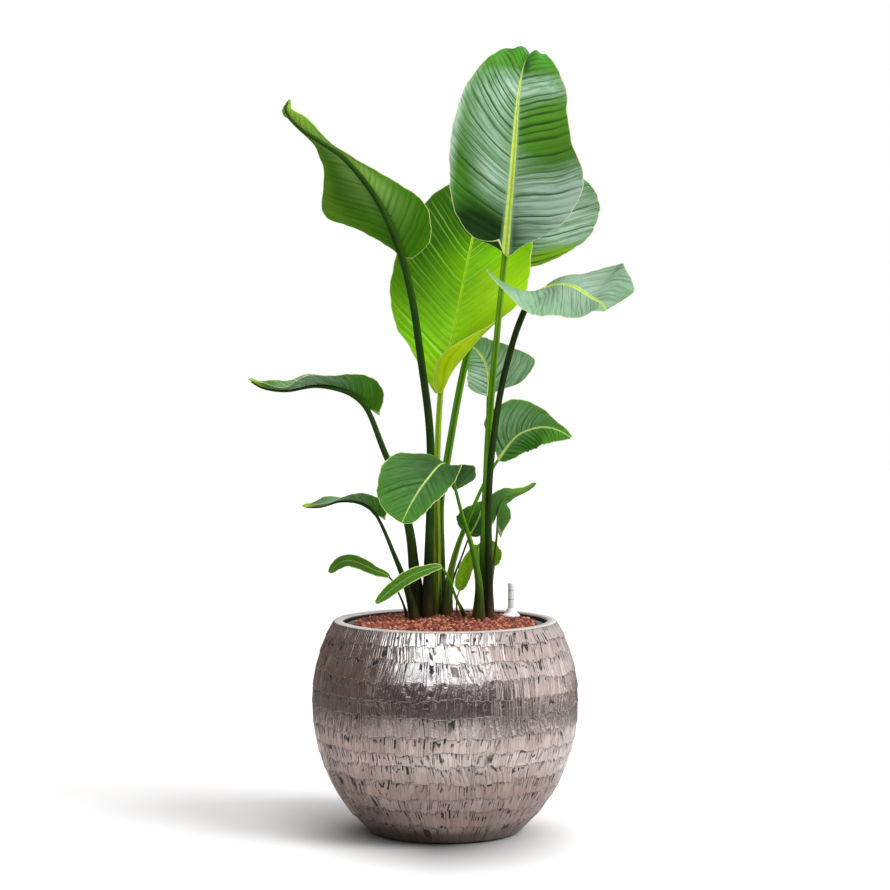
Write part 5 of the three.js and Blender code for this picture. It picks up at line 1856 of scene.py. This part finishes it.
def floor_material(base):
    """A white sheet with the pot's soft contact shadow painted on, which reaches out to the left,
    and with darker surroundings painted for glossy rays, which the pot reflects."""
    material, s, shader = new_material("studio_floor")
    coordinates = s.objects()
    x, y = s.parts(coordinates)[:2]
    paint = s.mix(s.step(s.noise(coordinates, 3.0, 2), 0.3, 0.7), shade(base, 0.99), base)
    # The painted contact shadow, which fades out from its middle
    aside = s.plus(x, SHADOW_LEFT)
    ahead = s.plus(s.plus(y, SHADOW_FRONT), s.times(s.math("MINIMUM", aside, 0.0), 0.85))
    aside = s.math("MAXIMUM", aside, s.times(aside, 1.3))
    from_foot = s.distance(aside, ahead)
    near = s.minus(1.0, s.math("DIVIDE", from_foot, SHADOW_REACH), clamp=True)
    paint = s.mix(s.times(s.math("POWER", near, 1.35), 0.97), paint, (0.0, 0.0, 0.0))
    # What the pot reflects, painted darker for glossy rays only: the floor near it, the floor on its
    # left and beyond the white sheet
    away = s.distance(x, y)
    glossy = s.tree.nodes.new("ShaderNodeLightPath").outputs["Is Glossy Ray"]
    for share, seen in (
        (s.step(away, 0.42, 0.26), (0.42, 0.39, 0.38)),
        (s.step(x, 0.0, -0.45, 0.0, 0.6), (0.25, 0.20, 0.18)),
        (s.step(away, 0.85, 1.2), (0.10, 0.09, 0.085)),
    ):
        paint = s.mix(s.times(share, glossy), paint, seen)
    s.fill(shader, Base_Color=paint, Roughness=0.6, Specular_IOR_Level=0.2)
    return material


def aim(thing, direction):
    """Turns a light or the camera to look in a direction."""
    thing.rotation_mode = "QUATERNION"
    thing.rotation_quaternion = Vector(direction).to_track_quat("-Z", "Y")


def soft_sun(name, strength, spread, direction):
    """A soft sun that pieces don't reflect."""
    light = bpy.data.lights.new(name, "SUN")
    light.energy, light.angle = strength, math.radians(spread)
    lamp = bpy.data.objects.new(name, light)
    aim(lamp, direction)
    lamp.visible_glossy = False
    bpy.context.scene.collection.objects.link(lamp)


class PLANT_OT_make_stage(bpy.types.Operator):
    """Makes the floor, the studio lights and the camera"""
    bl_idname = "plant.make_stage"
    bl_label = "Make Stage"

    def execute(self, context):
        settings = context.scene.plant_stage
        scene = context.scene
        scene.world = studio_world()
        scene.view_settings.view_transform = "Standard"
        corners = [
            [x * FLOOR_HALF, y * FLOOR_HALF, FLOOR_Z]
            for x, y in ((-1, -1), (1, -1), (1, 1), (-1, 1))
        ]
        material = floor_material(tuple(settings.floor))
        floor = make_piece("studio_floor", corners, [[0, 1, 2, 3]], [material])
        soft_sun("key", settings.key_strength, 30, (-1.0, 0.56, -0.95))
        soft_sun("top_back", settings.top_strength, 38, (0.05, -0.55, -1.0))
        lens = bpy.data.cameras.new("photo_camera")
        lens.lens, lens.sensor_width, lens.clip_end = FOCAL_LENGTH, 36, 50
        camera = bpy.data.objects.new("photo_camera", lens)
        camera.location = CAMERA_PLACE
        aim(camera, Vector(CAMERA_AIM) - camera.location)
        scene.collection.objects.link(camera)
        scene.camera = camera
        return {"FINISHED"}


class PLANT_PT_panel(bpy.types.Panel):
    bl_idname = "PLANT_PT_panel"
    bl_label = "Potted Bird of Paradise"
    bl_space_type = "VIEW_3D"
    bl_region_type = "UI"
    bl_category = "Plant"

    def draw(self, context):
        for group_name, (group, maker) in GROUPS.items():
            box = self.layout.box()
            for name in group.__annotations__:
                box.prop(getattr(context.scene, group_name), name)
            box.operator(maker.bl_idname)


GROUPS = {
    "plant_pot": (PotSettings, PLANT_OT_make_pot),
    "plant_liner": (LinerSettings, PLANT_OT_make_liner),
    "plant_granules": (GranuleSettings, PLANT_OT_make_granules),
    "plant_gauge": (GaugeSettings, PLANT_OT_make_gauge),
    "plant_stalks": (StalkSettings, PLANT_OT_make_stalks),
    "plant_blades": (BladeSettings, PLANT_OT_make_blades),
    "plant_stage": (StageSettings, PLANT_OT_make_stage),
}


def register():
    for name, (group, maker) in GROUPS.items():
        bpy.utils.register_class(group)
        bpy.utils.register_class(maker)
        setattr(bpy.types.Scene, name, PointerProperty(type=group))
    bpy.utils.register_class(PLANT_PT_panel)


def unregister():
    bpy.utils.unregister_class(PLANT_PT_panel)
    for name, (group, maker) in reversed(GROUPS.items()):
        delattr(bpy.types.Scene, name)
        bpy.utils.unregister_class(maker)
        bpy.utils.unregister_class(group)


def main():
    register()
    bpy.ops.plant.make_stage()
    bpy.ops.plant.make_pot()
    bpy.ops.plant.make_liner()
    bpy.ops.plant.make_granules()
    bpy.ops.plant.make_gauge()
    bpy.ops.plant.make_stalks()
    bpy.ops.plant.make_blades()


if __name__ == "__main__":
    main()
